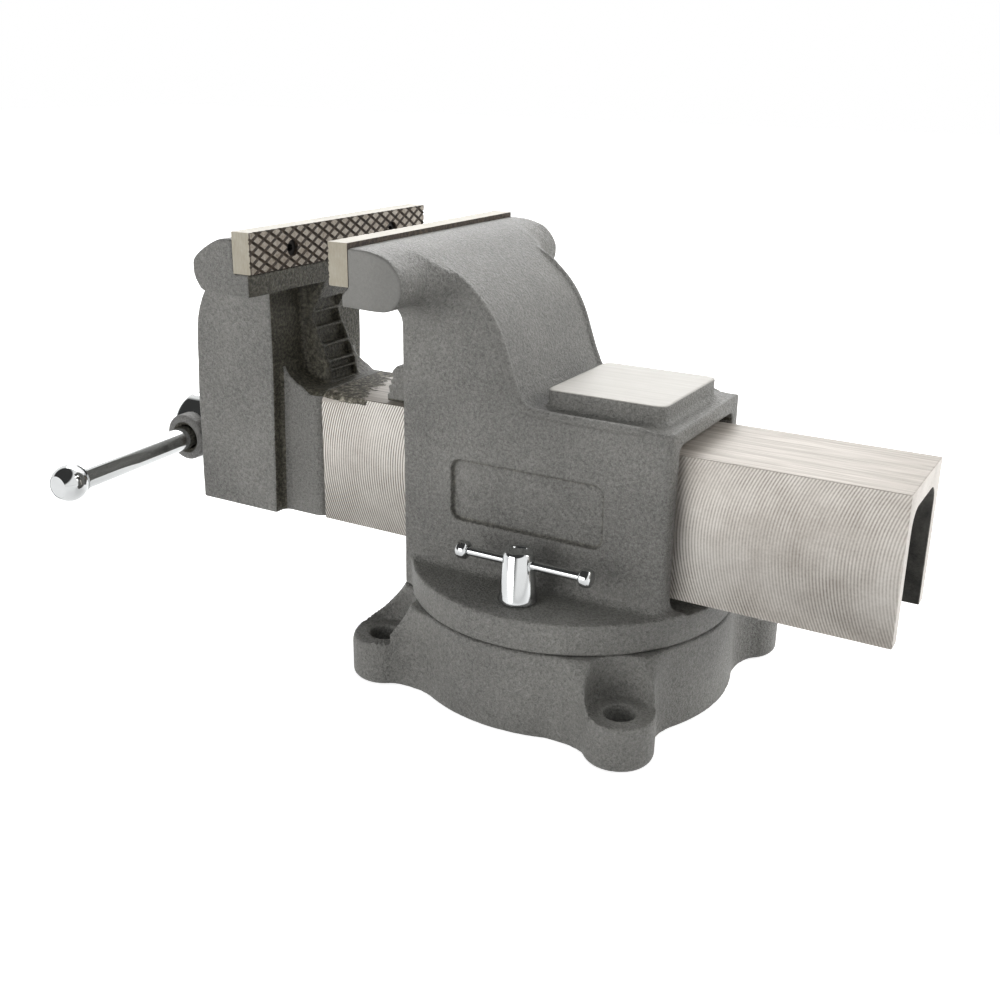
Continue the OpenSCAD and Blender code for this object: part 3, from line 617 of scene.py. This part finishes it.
# painted shade: the top's tone falls towards the rear
rear_shade = sums("MINIMUM", sums("ADD", sums("MULTIPLY", along, 4.25), 0.58), 0.17)
top_tone = sums("SUBTRACT", shares(sums, (streak, 0.6), (fine, 0.4)), rear_shade)
iron = tones(add, wire, pick(add, wire, is_top, side_tone, top_tone), [
    (0.18, (0.23, 0.20, 0.165)), (0.40, (0.48, 0.44, 0.395)),
    (0.58, (0.67, 0.63, 0.58)), (0.78, (0.80, 0.77, 0.72))])
# the cast skin left on the roof near the jaw, with a torn edge, and a dark line along the arris
edge_x = sums("SUBTRACT", -0.1195, sums("MULTIPLY", beside, 0.31))
torn = grain(add, wire, place, 130, 4, 0.7, (0.6, 1.5, 1))
torn = sums("MULTIPLY", sums("SUBTRACT", torn, 0.5), 0.026)
inside = sums("LESS_THAN", sums("ADD", along, torn), edge_x)
high = sums("ADD", above, sums("MULTIPLY", torn, 0.1))
high = sums("GREATER_THAN", high, (SLIDE_TOP - SKIN_DEPTH) / 1000)
arris = sums("GREATER_THAN", sums("ABSOLUTE", beside), (SLIDE_HALF - ARRIS) / 1000)
ends = sums("ADD", along, sums("MULTIPLY", torn, 3.0))
arris = sums("MULTIPLY", sums("MULTIPLY", arris, is_top), sums("LESS_THAN", ends, ARRIS_END))
dark = sums("MAXIMUM", sums("MULTIPLY", inside, high), arris)
skin = tones(add, wire, grain(add, wire, place, 420, 4, 0.75), [
    (0.36, (0.022, 0.020, 0.014)), (0.52, (0.115, 0.105, 0.08)), (0.66, (0.40, 0.37, 0.30))])
wire(over(add, wire, dark, iron, skin), shader.inputs["Base Color"])
# bare iron shines, the skin is dull and stands out in a crust
bright = sums("SUBTRACT", 1.0, dark)
wire(sums("MULTIPLY", bright, 0.15), shader.inputs["Metallic"])
wire(sums("SUBTRACT", 0.75, sums("MULTIPLY", bright, 0.25)), shader.inputs["Roughness"])
lines = pick(add, wire, is_top, side_line, sums("MULTIPLY", fine, 0.8))
crust = sums("MULTIPLY", grain(add, wire, place, 300, 4, 0.7), dark)
rough = sums("ADD", sums("MULTIPLY", lines, bright), sums("MULTIPLY", crust, 6.0))
wire(relief(add, wire, rough, 0.3, 0.00012), shader.inputs["Normal"])

channel_skin = bpy.data.materials.new("channel_skin")
shader, add, wire, sums = maker(channel_skin)
place = add("TexCoord").outputs["Object"]
wire(tones(add, wire, grain(add, wire, place, 90, 5, 0.65), [
    (0.34, (0.045, 0.044, 0.040)), (0.66, (0.15, 0.145, 0.13))]), shader.inputs["Base Color"])
shader.inputs["Roughness"].default_value = 0.7
wire(relief(add, wire, grain(add, wire, place, 330, 4, 0.65), 0.8, 0.0008), shader.inputs["Normal"])

quarter = [(math.cos(math.radians(a)), math.sin(math.radians(a))) for a in range(0, 91, 15)]


def mirrored(half_line):
    """A line across the slide: its right half, and the same turned over to the left."""
    return half_line + [(-y, z) for y, z in reversed(half_line)]


def slide_section(arris_round):
    """Closed outline of the slide and its channel; the first half is the outside."""
    r = arris_round
    outer = mirrored([(SLIDE_HALF, SLIDE_LOW), (SLIDE_HALF, SLIDE_LOW + 0.5)]
                     + [(SLIDE_HALF - r + r * c, SLIDE_TOP - r + r * s) for c, s in quarter])
    reach, top, r = CHANNEL_HALF - CHANNEL_ROUND, CHANNEL_TOP - CHANNEL_ROUND, CHANNEL_ROUND
    inner = mirrored([(CHANNEL_HALF, SLIDE_LOW), (CHANNEL_HALF, SLIDE_LOW + 0.5)]
                     + [(reach + r * c, top + r * s) for c, s in quarter])
    return outer, inner[::-1]


bm = bmesh.new()
stations = []
for x, arris_round in ((MILLED_FROM, 7.0), (SKIN_END - 2, 6.5), (SKIN_END, 0.5), (SLIDE_END, 0.5)):
    outer, inner = slide_section(arris_round)
    stations.append([bm.verts.new((x / 1000, y / 1000, z / 1000)) for y, z in outer + inner])
count, half = len(outer) + len(inner), len(outer)
for a, b in zip(stations, stations[1:]):
    for i in range(count):
        face = bm.faces.new((a[i], a[(i + 1) % count], b[(i + 1) % count], b[i]))
        face.material_index = 1 if half <= i < count - 1 else 0
for end in (stations[0], stations[-1]):
    for i in range(half - 1):
        bm.faces.new((end[i], end[i + 1], end[count - 2 - i], end[count - 1 - i]))
bmesh.ops.recalc_face_normals(bm, faces=bm.faces)
mesh = bpy.data.meshes.new("slide")
bm.to_mesh(mesh)
bm.free()
mesh.shade_smooth()
mesh.set_sharp_from_angle(angle=math.radians(35))
slide = add_piece("slide", mesh, "front", [milled, channel_skin])
edges = slide.modifiers.new("edges", "BEVEL")
edges.width, edges.segments = 0.0005, 2
edges.limit_method, edges.angle_limit = "ANGLE", math.radians(50)

# ---------------------------------------------------------------- jaw plates
# Each jaw carries a hardened steel plate, ground on its edges and ends. Its gripping face is cut
# with crossed grooves, and two socket screws hold it from the bottoms of counterbored holes.

# width and height of a diamond, half width and depth of a groove, and where two grooves cross
DIAMOND_Y, DIAMOND_Z, GROOVE, GROOVE_DEPTH, CROSSING = 9.35, 5.65, 0.85, 0.9, 13.3
COUNTERBORE, COUNTERBORE_DEPTH, CHAMFER = 4.25, 6.5, 0.35


def plate_finish(name, coarse, fine, share, stops, metallic, roughness, depth):
    """Steel toned by a coarse grain and a share of a fine one, which also stands in relief."""
    material = bpy.data.materials.new(name)
    shader, add, wire, sums = maker(material)
    place = add("TexCoord").outputs["Object"]
    cloud, marks = grain(add, wire, place, *coarse), grain(add, wire, place, *fine)
    tone = shares(sums, (cloud, 1 - share), (marks, share))
    wire(tones(add, wire, tone, stops), shader.inputs["Base Color"])
    shader.inputs["Metallic"].default_value = metallic
    shader.inputs["Roughness"].default_value = roughness
    wire(relief(add, wire, marks, *depth), shader.inputs["Normal"])
    return material


GRIP, GROUND, SCALE_AND_SHADE = 0, 1, 2
plate_steels = (
    plate_finish("grip_steel", (90, 5, 0.7), (600, 2, 0.6), 0.4, [
        (0.34, (0.16, 0.125, 0.09)), (0.5, (0.33, 0.29, 0.24)), (0.66, (0.50, 0.46, 0.40))],
        0.2, 0.5, (0.4, 0.0002)),
    plate_finish("ground_steel", (60, 5, 0.65), (300, 3, 0.6, (5, 0.2, 1)), 0.4, [
        (0.34, (0.27, 0.238, 0.178)), (0.5, (0.315, 0.285, 0.22)), (0.66, (0.37, 0.34, 0.275))],
        0.15, 0.42, (0.3, 0.00012)),
    # dark scale in the grooves and holes, and painted shade on each plate's back
    plate_finish("groove_scale_and_shade", (420, 3, 0.7), (700, 2), 0.0, [
        (0.36, (0.016, 0.011, 0.007)), (0.62, (0.075, 0.055, 0.038))],
        0.0, 0.7, (0.4, 0.0002)))


def plate_mesh(name, face, way):
    """A plate before it is drilled; way, 1 or -1 along x, is where its gripping face looks."""
    bm = bmesh.new()
    back = face - way * PLATE_THICK
    bmesh.ops.create_cube(bm, size=1)
    for v in bm.verts:
        v.co = Vector((face if v.co.x * way > 0 else back, 2 * JAW_HALF * v.co.y,
                       TOP if v.co.z > 0 else PLATE_LOW))

    def cut(point, normal):
        """Splits the faces along a plane."""
        bmesh.ops.bisect_plane(bm, geom=bm.verts[:] + bm.edges[:] + bm.faces[:], dist=1e-5,
                               plane_co=point, plane_no=normal)

    for y in (-JAW_HALF + CHAMFER, JAW_HALF - CHAMFER):
        cut((0, y, 0), (0, 1, 0))
    for z in (PLATE_LOW + CHAMFER, TOP - CHAMFER):
        cut((0, 0, z), (0, 0, 1))
    pitch = 1 / math.hypot(1 / DIAMOND_Y, 1 / DIAMOND_Z)
    middles = []
    for lean in (-1, 1):
        normal = Vector((0, 1 / DIAMOND_Y, lean / DIAMOND_Z)).normalized()
        for k in range(-20, 21):
            middle = Vector((0, 0, PLATE_LOW + CROSSING)) + normal * pitch * (k + 0.5)
            middles.append((middle, normal))
            for shift in (-GROOVE, 0, GROOVE):
                cut(middle + shift * normal, normal)
    for v in bm.verts:
        if abs(v.co.x - face) > 1e-4:
            continue
        if min(abs((v.co - m).dot(n)) for m, n in middles) < 1e-3:
            v.co.x = face - way * GROOVE_DEPTH
        elif min(JAW_HALF - abs(v.co.y), TOP - v.co.z, v.co.z - PLATE_LOW) < 1e-3:
            v.co.x = face - way * CHAMFER
    # grooves take the dark scale; the back face takes it as painted shade
    for f in bm.faces:
        xs = [v.co.x for v in f.verts]
        if all(abs(x - face) < GROOVE_DEPTH + 0.01 for x in xs):
            f.material_index = GRIP if max(xs) - min(xs) < 1e-4 else SCALE_AND_SHADE
        else:
            f.material_index = SCALE_AND_SHADE if all(abs(x - back) < 1e-4 for x in xs) else GROUND
    bmesh.ops.scale(bm, vec=(0.001, 0.001, 0.001), verts=bm.verts)
    mesh = bpy.data.meshes.new(name)
    bm.to_mesh(mesh)
    bm.free()
    return mesh


def drill(mesh, face, way):
    """Cuts the two counterbored screw holes out of a plate.

    Both meshes get the steels before the cut, which keeps the finish of each face.
    """
    for material in plate_steels:
        mesh.materials.append(material)
    plate = bpy.data.objects.new("plate_blank", mesh)
    bpy.context.scene.collection.objects.link(plate)
    bm = bmesh.new()
    lying = Matrix.Rotation(math.radians(90), 4, "Y")
    counterbore, through = (COUNTERBORE, COUNTERBORE_DEPTH), (SCREW_HOLE + 0.3, PLATE_THICK + 2)
    for y in (-SCREW_SPREAD, SCREW_SPREAD):
        for radius, depth in (counterbore, through):
            made = bmesh.ops.create_cone(bm, cap_ends=True, segments=40, radius1=radius,
                                         radius2=radius, depth=depth + 2)
            middle = Matrix.Translation((face + way * (2 - (depth + 2) / 2), y, PLATE_SCREW_Z))
            bmesh.ops.transform(bm, matrix=middle @ lying, verts=made["verts"])
    bmesh.ops.scale(bm, vec=(0.001, 0.001, 0.001), verts=bm.verts)
    for f in bm.faces:
        f.material_index = SCALE_AND_SHADE
    cutter_mesh = bpy.data.meshes.new("cutter")
    for material in plate_steels:
        cutter_mesh.materials.append(material)
    bm.to_mesh(cutter_mesh)
    bm.free()
    cutter = bpy.data.objects.new("cutter", cutter_mesh)
    bpy.context.scene.collection.objects.link(cutter)
    cutting = plate.modifiers.new("holes", "BOOLEAN")
    cutting.operation, cutting.solver, cutting.use_self = "DIFFERENCE", "EXACT", True
    cutting.object = cutter
    finished = plate.evaluated_get(bpy.context.evaluated_depsgraph_get())
    drilled = bpy.data.meshes.new_from_object(finished)
    bpy.data.objects.remove(plate)
    bpy.data.objects.remove(cutter)
    drilled.shade_smooth()
    drilled.set_sharp_from_angle(angle=math.radians(25))
    return drilled


for name, body, node, face, way in (
        ("fixed_plate_ground", "turret", "fixed_jaw_plate", FIXED_FACE, -1),
        ("front_plate_ground", "front", "front_jaw_plate", FRONT_FACE, 1)):
    mesh = drill(plate_mesh(name, face, way), face, way)
    add_piece(name, mesh, body, [], node)

# ---------------------------------------------------------------- screw
# The screw is turned from steel bar with a square-shouldered thread; its plated round head is
# cross drilled for the handle. A bronze bush, washers and a pinned collar hold it in the wall.

HEAD_MID = (RINGS_LOW[0] + RINGS_HIGH[0]) / 2
HEAD_HALF, HEAD_RADIUS, HEAD_BORE, NECK = 14.0, 20.0, 10.3, 10.9
# the cross hole rests a little off level, and the handle with it
HANDLE_LEAN = math.radians(2)
# thread: its two ends, lead, core radius, height, half width and flank as shares of the lead
THREAD_FROM, THREAD_TO = -171.0, corners("spindle")[1][0] - 1
LEAD, CORE, THREAD, CREST, FLANK = 6.0, 9.8, 2.85, 0.30, 0.09


def turned(name, profile, turns=64):
    """Turned piece about the x axis through the origin: profile is (x, radius) from end to end."""
    bm = bmesh.new()
    rings = []
    for px, r in profile:
        spots = [(px, r * math.cos(2 * math.pi * k / turns), r * math.sin(2 * math.pi * k / turns))
                 for k in range(turns)] if r > 1e-6 else [(px, 0, 0)]
        rings.append([bm.verts.new(Vector(spot) / 1000) for spot in spots])
    for a, b in zip(rings, rings[1:]):
        for k in range(turns):
            m = (k + 1) % turns
            if len(a) == 1:
                bm.faces.new((a[0], b[k], b[m]))
            elif len(b) == 1:
                bm.faces.new((a[k], b[0], a[m]))
            else:
                bm.faces.new((a[k], b[k], b[m], a[m]))
    bmesh.ops.recalc_face_normals(bm, faces=bm.faces)
    mesh = bpy.data.meshes.new(name)
    bm.to_mesh(mesh)
    bm.free()
    mesh.shade_smooth()
    mesh.set_sharp_from_angle(angle=math.radians(40))
    return mesh


def metal(name, dark, light, scale, metallic, roughness, rub=None):
    """Clean metal, a little cloudy; rub draws fine tool marks out along an axis."""
    material = bpy.data.materials.new(name)
    shader, add, wire, sums = maker(material)
    place = add("TexCoord").outputs["Object"]
    cloud = grain(add, wire, place, scale, 4, 0.6)
    wire(tones(add, wire, cloud, [(0.3, dark), (0.7, light)]), shader.inputs["Base Color"])
    shader.inputs["Metallic"].default_value = metallic
    wire(sums("ADD", sums("MULTIPLY", cloud, 0.08), roughness - 0.04), shader.inputs["Roughness"])
    marks = grain(add, wire, place, 400, 2, 0.5, rub)
    wire(relief(add, wire, marks, 0.2 if rub else 0.01, 0.0001), shader.inputs["Normal"])
    return material


chrome = metal("bright_chrome", (0.50, 0.51, 0.51), (0.58, 0.59, 0.59), 35, 1.0, 0.08)
bronze = metal("machined_bronze", (0.36, 0.22, 0.08), (0.55, 0.37, 0.16), 70, 0.9, 0.35,
               (4, 0.4, 0.4))
black_steel = metal("blackened_steel", (0.018, 0.017, 0.016), (0.06, 0.057, 0.053), 110, 0.7, 0.42,
                    (1, 1, 1))
screw_steel = metal("turned_steel", (0.33, 0.32, 0.30), (0.58, 0.57, 0.54), 90, 0.95, 0.3,
                    (5, 0.5, 0.5))


def head_shape(x, y, z):
    """The round head about its own middle, with the cross hole for the handle."""
    lift = z * math.cos(HANDLE_LEAN) - y * math.sin(HANDLE_LEAN)
    knob = trim(np.hypot(y, z) - HEAD_RADIUS, np.abs(x) - HEAD_HALF, 3.5)
    return trim(knob, HEAD_BORE - np.hypot(x, lift), 0.8)


screw_head = casting("screw_head", head_shape, (-16, -22, -22), (16, 22, 22), 0.5)
screw_head = add_piece("screw_head", screw_head, "screw", [chrome], "spindle")
screw_head.location = (HEAD_MID / 1000, 0, SCREW_Z / 1000)

bm = bmesh.new()
rows = []
around, along = 32, int((THREAD_TO - THREAD_FROM) / 0.75)
for i in range(along + 1):
    px = THREAD_FROM + (THREAD_TO - THREAD_FROM) * i / along
    run_out = min(1, (px - THREAD_FROM) / 6 + 0.02, (THREAD_TO - px) / 4 + 0.02)
    row = []
    for k in range(around):
        t = (px / LEAD + k / around) % 1.0
        crest = min(max((CREST - abs(t - 0.5)) / FLANK, 0), 1)
        r, a = CORE + THREAD * crest * run_out, 2 * math.pi * k / around
        spot = Vector((px, r * math.cos(a), SCREW_Z + r * math.sin(a)))
        row.append(bm.verts.new(spot / 1000))
    rows.append(row)
for a, b in zip(rows, rows[1:]):
    for k in range(around):
        m = (k + 1) % around
        bm.faces.new((a[k], b[k], b[m], a[m]))
bm.faces.new(rows[0])
bm.faces.new(rows[-1][::-1])
bmesh.ops.recalc_face_normals(bm, faces=bm.faces)
mesh = bpy.data.meshes.new("screw_thread")
bm.to_mesh(mesh)
bm.free()
mesh.shade_smooth()
mesh.set_sharp_from_angle(angle=math.radians(45))
add_piece("screw_thread", mesh, "screw", [screw_steel])

neck_from, neck_to = HEAD_MID + 13.3, THREAD_FROM + 1
neck = turned("screw_neck", [(neck_from, 0), (neck_from, NECK), (neck_to, NECK), (neck_to, 0)])
neck = add_piece("screw_neck", neck, "screw", [screw_steel])
neck.location = (0, 0, SCREW_Z / 1000)

for material, names in (
        (bronze, ("spindle_nut", "spindle_bush", "thrust_washer", "inner_washer")),
        (screw_steel, ("collar_pin",)),
        (black_steel, ("retaining_collar", "nut_screws", "clamp_nuts", "fixed_plate_screws",
                       "front_plate_screws"))):
    for name in names:
        nodes[name].data.materials.clear()
        nodes[name].data.materials.append(material)

# ---------------------------------------------------------------- handle
# The handle is a chromed steel bar that slides in the screw's head between two pressed-on ball
# ends. Grey rings at the two mouths of the cross hole stop the balls from hitting the head.

HANDLE_PLACE = Matrix.Translation((HEAD_MID / 1000, 0, SCREW_Z / 1000)) @ Matrix.Rotation(
    HANDLE_LEAN, 4, "X") @ Matrix.Rotation(math.radians(90), 4, "Z")
ROD = 6.7
BALL = (corners("near_knob")[1][0] - corners("near_knob")[0][0]) / 2
NEAR_BALL = (corners("near_knob")[0][1] + BALL) / math.cos(HANDLE_LEAN)
FAR_BALL = (corners("far_knob")[1][1] - BALL) / math.cos(HANDLE_LEAN)

rod_from, rod_to = NEAR_BALL + 5, FAR_BALL - 5
rod = turned("handle_rod", [(rod_from, 0), (rod_from, ROD), (rod_to, ROD), (rod_to, 0)])
rod = add_piece("handle_rod", rod, "handle", [chrome], "handle_bar")
rod.matrix_world = HANDLE_PLACE
# a ball's outline: flat riveted end, round, and a short collar on the rod
ball_line = [(BALL - 2.0, 0), (BALL - 2.05, 5.0), (BALL - 2.3, 6.2)]
for turn in range(38, 132, 4):
    ball_line.append((BALL * math.cos(math.radians(turn)), BALL * math.sin(math.radians(turn))))
ball_line += [(-6.9, 7.2), (-7.2, 7.1), (-7.4, 7.5), (-8.2, 7.5), (-8.5, 7.2), (-8.6, 6.6)]
for name, centre, way, node in (("near_ball", NEAR_BALL, -1, "near_knob"),
                                ("far_ball", FAR_BALL, 1, "far_knob")):
    profile = [(centre + way * px, r) for px, r in ball_line]
    ball = add_piece(name, turned(name, profile), "handle", [chrome], node)
    ball.matrix_world = HANDLE_PLACE

# a ring's flange: radius, reach from the screw's axis and flare of its mouth; then its sleeve
RING, REACH, MOUTH = 13.6, 24.0, 2.4
SLEEVE, SLEEVE_FROM, SLEEVE_TO = 10.2, 12, 20


def ring_shape(x, y, z):
    """Both rings in the head's frame: flanges seated on the round head, with flared mouths."""
    along = np.abs(y * math.cos(HANDLE_LEAN) + z * math.sin(HANDLE_LEAN))
    ring = np.hypot(x, z * math.cos(HANDLE_LEAN) - y * math.sin(HANDLE_LEAN))
    flange = trim(ring - RING, along - REACH, 1.6)
    flange = trim(flange, HEAD_RADIUS + 0.05 - np.hypot(y, z), 0.4)
    sleeve = np.maximum(SLEEVE_FROM - along, along - SLEEVE_TO)
    body = np.minimum(flange, trim(ring - SLEEVE, sleeve, 0.4))
    flare = MOUTH * np.clip((along - REACH + 3) / 3, 0, 1) ** 1.5
    return trim(body, ROD + 0.4 + flare - ring, 0.5)


def painted_mouth_shade(sums, x, y, z):
    """1 inside the mouths, near the handle's axis, where painted shade darkens the coat."""
    lift = shares(sums, (z, math.cos(HANDLE_LEAN)), (y, -math.sin(HANDLE_LEAN)))
    from_axis = sums("SQRT", sums("ADD", sums("MULTIPLY", x, x), sums("MULTIPLY", lift, lift)))
    return sums("LESS_THAN", from_axis, (ROD + 2.6) / 1000)


# the rings' mouths are darkened as painted shade
ring_enamel = enamel("ring_enamel", (0.155, 0.153, 0.145), grime_and_shade=painted_mouth_shade)
rings = casting("handle_rings", ring_shape, (-15, -26, -16), (15, 26, 16), 0.5)
rings = add_piece("mouth_rings", rings, "screw", [ring_enamel], "handle_rings")
rings.location = (HEAD_MID / 1000, 0, SCREW_Z / 1000)

# ---------------------------------------------------------------- base locks
# On each side a chromed lock bolt stands on the turntable; its small cross bar slides and ends in
# riveted caps. Turning the bolt pulls a clamp nut up in the base's circular slot.

# radii of the bar and of a cap, the bar's half length, and a cap's outline from its inner end
BAR, CAP, BAR_HALF = 2.3, 4.5, 30.0
CAP_LINE = [(0, BAR + 0.1), (0, 3.2), (0.3, 3.6), (1.0, CAP - 0.1), (1.5, CAP), (4.6, CAP),
            (5.5, CAP - 0.5), (6.0, CAP - 1.5), (6.0, 0)]
for side, tag in ((-1, "near"), (1, "far")):
    low, high = corners(tag + "_lock_bolt")
    bolt_x, foot, head = (low[0] + high[0]) / 2, RIM_TOP + 0.4, high[2]
    shank = [(low[2] + 0.2, 0), (low[2] + 0.2, 5.4), (low[2] + 1, 6.0), (foot, 6.0)]
    flange = [(foot, 9.0), (foot + 0.5, 9.5), (foot + 2.2, 9.4), (foot + 3.6, 8.9)]
    dome = [(head - 1.6, 7.45), (head - 0.6, 7.0), (head - 0.1, 6.1), (head - 0.1, 4.5),
            (head - 0.6, 4.1), (head - 0.6, 0)]
    bolt = add_piece(tag + "_lock", turned(tag + "_lock", shank + flange + dome), tag + "_lock",
                     [chrome], tag + "_lock_bolt")
    upright = Matrix.Rotation(math.radians(-90), 4, "Y")
    bolt.matrix_world = Matrix.Translation((bolt_x / 1000, side * SLOT / 1000, 0)) @ upright
    low, high = corners(tag + "_lock_bar")
    middle = Matrix.Translation([(a + b) / 2000 for a, b in zip(low, high)])
    end = BAR_HALF + 4
    bar = turned(tag + "_cross_bar", [(-end, 0), (-end, BAR), (end, BAR), (end, 0)], 32)
    bar = add_piece(tag + "_cross_bar", bar, tag + "_bar", [chrome],
                    tag + "_lock_bar")
    bar.matrix_world = middle
    for way in (-1, 1):
        cap = turned(tag + "_cap", [(way * (BAR_HALF + px), r) for px, r in CAP_LINE], 32)
        cap = add_piece(tag + "_cap", cap, tag + "_bar", [chrome],
                        tag + "_bar_caps" if way < 0 else None)
        cap.matrix_world = middle

# ---------------------------------------------------------------- camera, floor and light
# The vise stands on white paper in a soft studio with three lamps: a large one high behind it on
# the left, one low in front, one on the right. The wall behind the camera and the ceiling are dark.

camera = bpy.data.objects.new("camera", bpy.data.cameras.new("camera"))
azimuth, elevation, roll = math.radians(29.642), math.radians(19.84), math.radians(0.847)
back = Vector((math.sin(azimuth) * math.cos(elevation), -math.cos(azimuth) * math.cos(elevation),
               math.sin(elevation)))
right = Vector((math.cos(azimuth), math.sin(azimuth), 0))
up = back.cross(right)
turned_right = math.cos(roll) * right + math.sin(roll) * up
turned_up = -math.sin(roll) * right + math.cos(roll) * up
facing = Matrix([[turned_right[i], turned_up[i], back[i]] for i in range(3)]).to_4x4()
camera.matrix_world = Matrix.Translation((0.25538, -0.52691, 0.30051)) @ facing
camera.data.lens, camera.data.sensor_width = 43.58, 36
bpy.context.scene.collection.objects.link(camera)
bpy.context.scene.camera = camera

floor_mesh = bpy.data.meshes.new("floor")
floor_mesh.from_pydata([(-6, -6, 0), (6, -6, 0), (6, 6, 0), (-6, 6, 0)], [], [(0, 1, 2, 3)])
floor = bpy.data.objects.new("floor", floor_mesh)
bpy.context.scene.collection.objects.link(floor)
floor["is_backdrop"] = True
paper = bpy.data.materials.new("paper")
shader, add, wire, sums = maker(paper)
shader.inputs["Base Color"].default_value = (0.8, 0.8, 0.8, 1)
shader.inputs["Roughness"].default_value = 0.9
shader.inputs["Emission Color"].default_value = (1, 1, 1, 1)
path = add("LightPath").outputs
mirrored_paper = sums("MAXIMUM", path["Is Glossy Ray"], path["Is Transmission Ray"])
mirrored_paper = sums("MULTIPLY", mirrored_paper, 0.6)
wire(sums("MAXIMUM", sums("MULTIPLY", path["Is Camera Ray"], 0.78), mirrored_paper),
     shader.inputs["Emission Strength"])
floor_mesh.materials.append(paper)

world = bpy.data.worlds.new("studio")
bpy.context.scene.world = world
world.use_nodes = True
tree = world.node_tree
tree.nodes.clear()


def room(kind, **values):
    """A new node of the studio around the vise."""
    node = tree.nodes.new("ShaderNode" + kind)
    for key, value in values.items():
        setattr(node, key, value)
    return node


compass = room("TexCoord").outputs["Generated"]


def wall(direction, start, near, end, far):
    """Grey level of the walls: near, and far from where one looks in the direction."""
    facing = room("VectorMath", operation="DOT_PRODUCT")
    facing.inputs[1].default_value = direction
    tree.links.new(compass, facing.inputs[0])
    ramp = room("MapRange")
    for socket, value in zip(("From Min", "From Max", "To Min", "To Max"), (start, end, near, far)):
        ramp.inputs[socket].default_value = value
    tree.links.new(facing.outputs["Value"], ramp.inputs["Value"])
    return ramp.outputs["Result"]


sides = wall((0.55, -0.80, 0.0), 0.3, 0.45, 0.72, 0.25)
gloss = wall((-0.2, -0.55, 0.81), 0.48, 1.35, 0.60, 0.06)
path = room("LightPath").outputs
shiny = room("MixShader")
seen = room("MixShader")
for mix, ray, strength in ((shiny, "Is Glossy Ray", gloss), (seen, "Is Camera Ray", None)):
    glow = room("Background")
    if strength:
        tree.links.new(strength, glow.inputs["Strength"])
    glow.inputs["Color"].default_value = (1, 1, 1, 1)
    tree.links.new(path[ray], mix.inputs["Fac"])
    tree.links.new(glow.outputs[0], mix.inputs[2])
plain = room("Background")
plain.inputs["Color"].default_value = (0.98, 0.99, 1, 1)
tree.links.new(sides, plain.inputs["Strength"])
tree.links.new(plain.outputs[0], shiny.inputs[1])
tree.links.new(shiny.outputs[0], seen.inputs[1])
tree.links.new(seen.outputs[0], room("OutputWorld").inputs["Surface"])


def softbox(name, place, aim, size, power):
    """A soft rectangular lamp at a place, aimed at a point."""
    lamp = bpy.data.lights.new(name, "AREA")
    lamp.shape = "RECTANGLE"
    lamp.size, lamp.size_y = size
    lamp.energy = power
    piece = bpy.data.objects.new(name, lamp)
    piece.location = place
    piece.rotation_euler = (Vector(aim) - Vector(place)).to_track_quat("-Z", "Y").to_euler()
    bpy.context.scene.collection.objects.link(piece)


softbox("key_light", (-0.75, 1.25, 1.25), (0, 0, 0.12), (1.6, 1.2), 24.5)
softbox("front_light", (-0.6, -1.6, 0.32), (0, 0, 0.1), (1.3, 0.9), 15.2)
softbox("right_light", (1.3, 0.75, 1.1), (0, 0, 0.12), (1.0, 1.0), 18)
bpy.context.scene.view_settings.view_transform = "Standard"

for label, box in (("cad", cad_box), ("visual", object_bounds())):
    [[float(c) for c in corner] for corner in box]
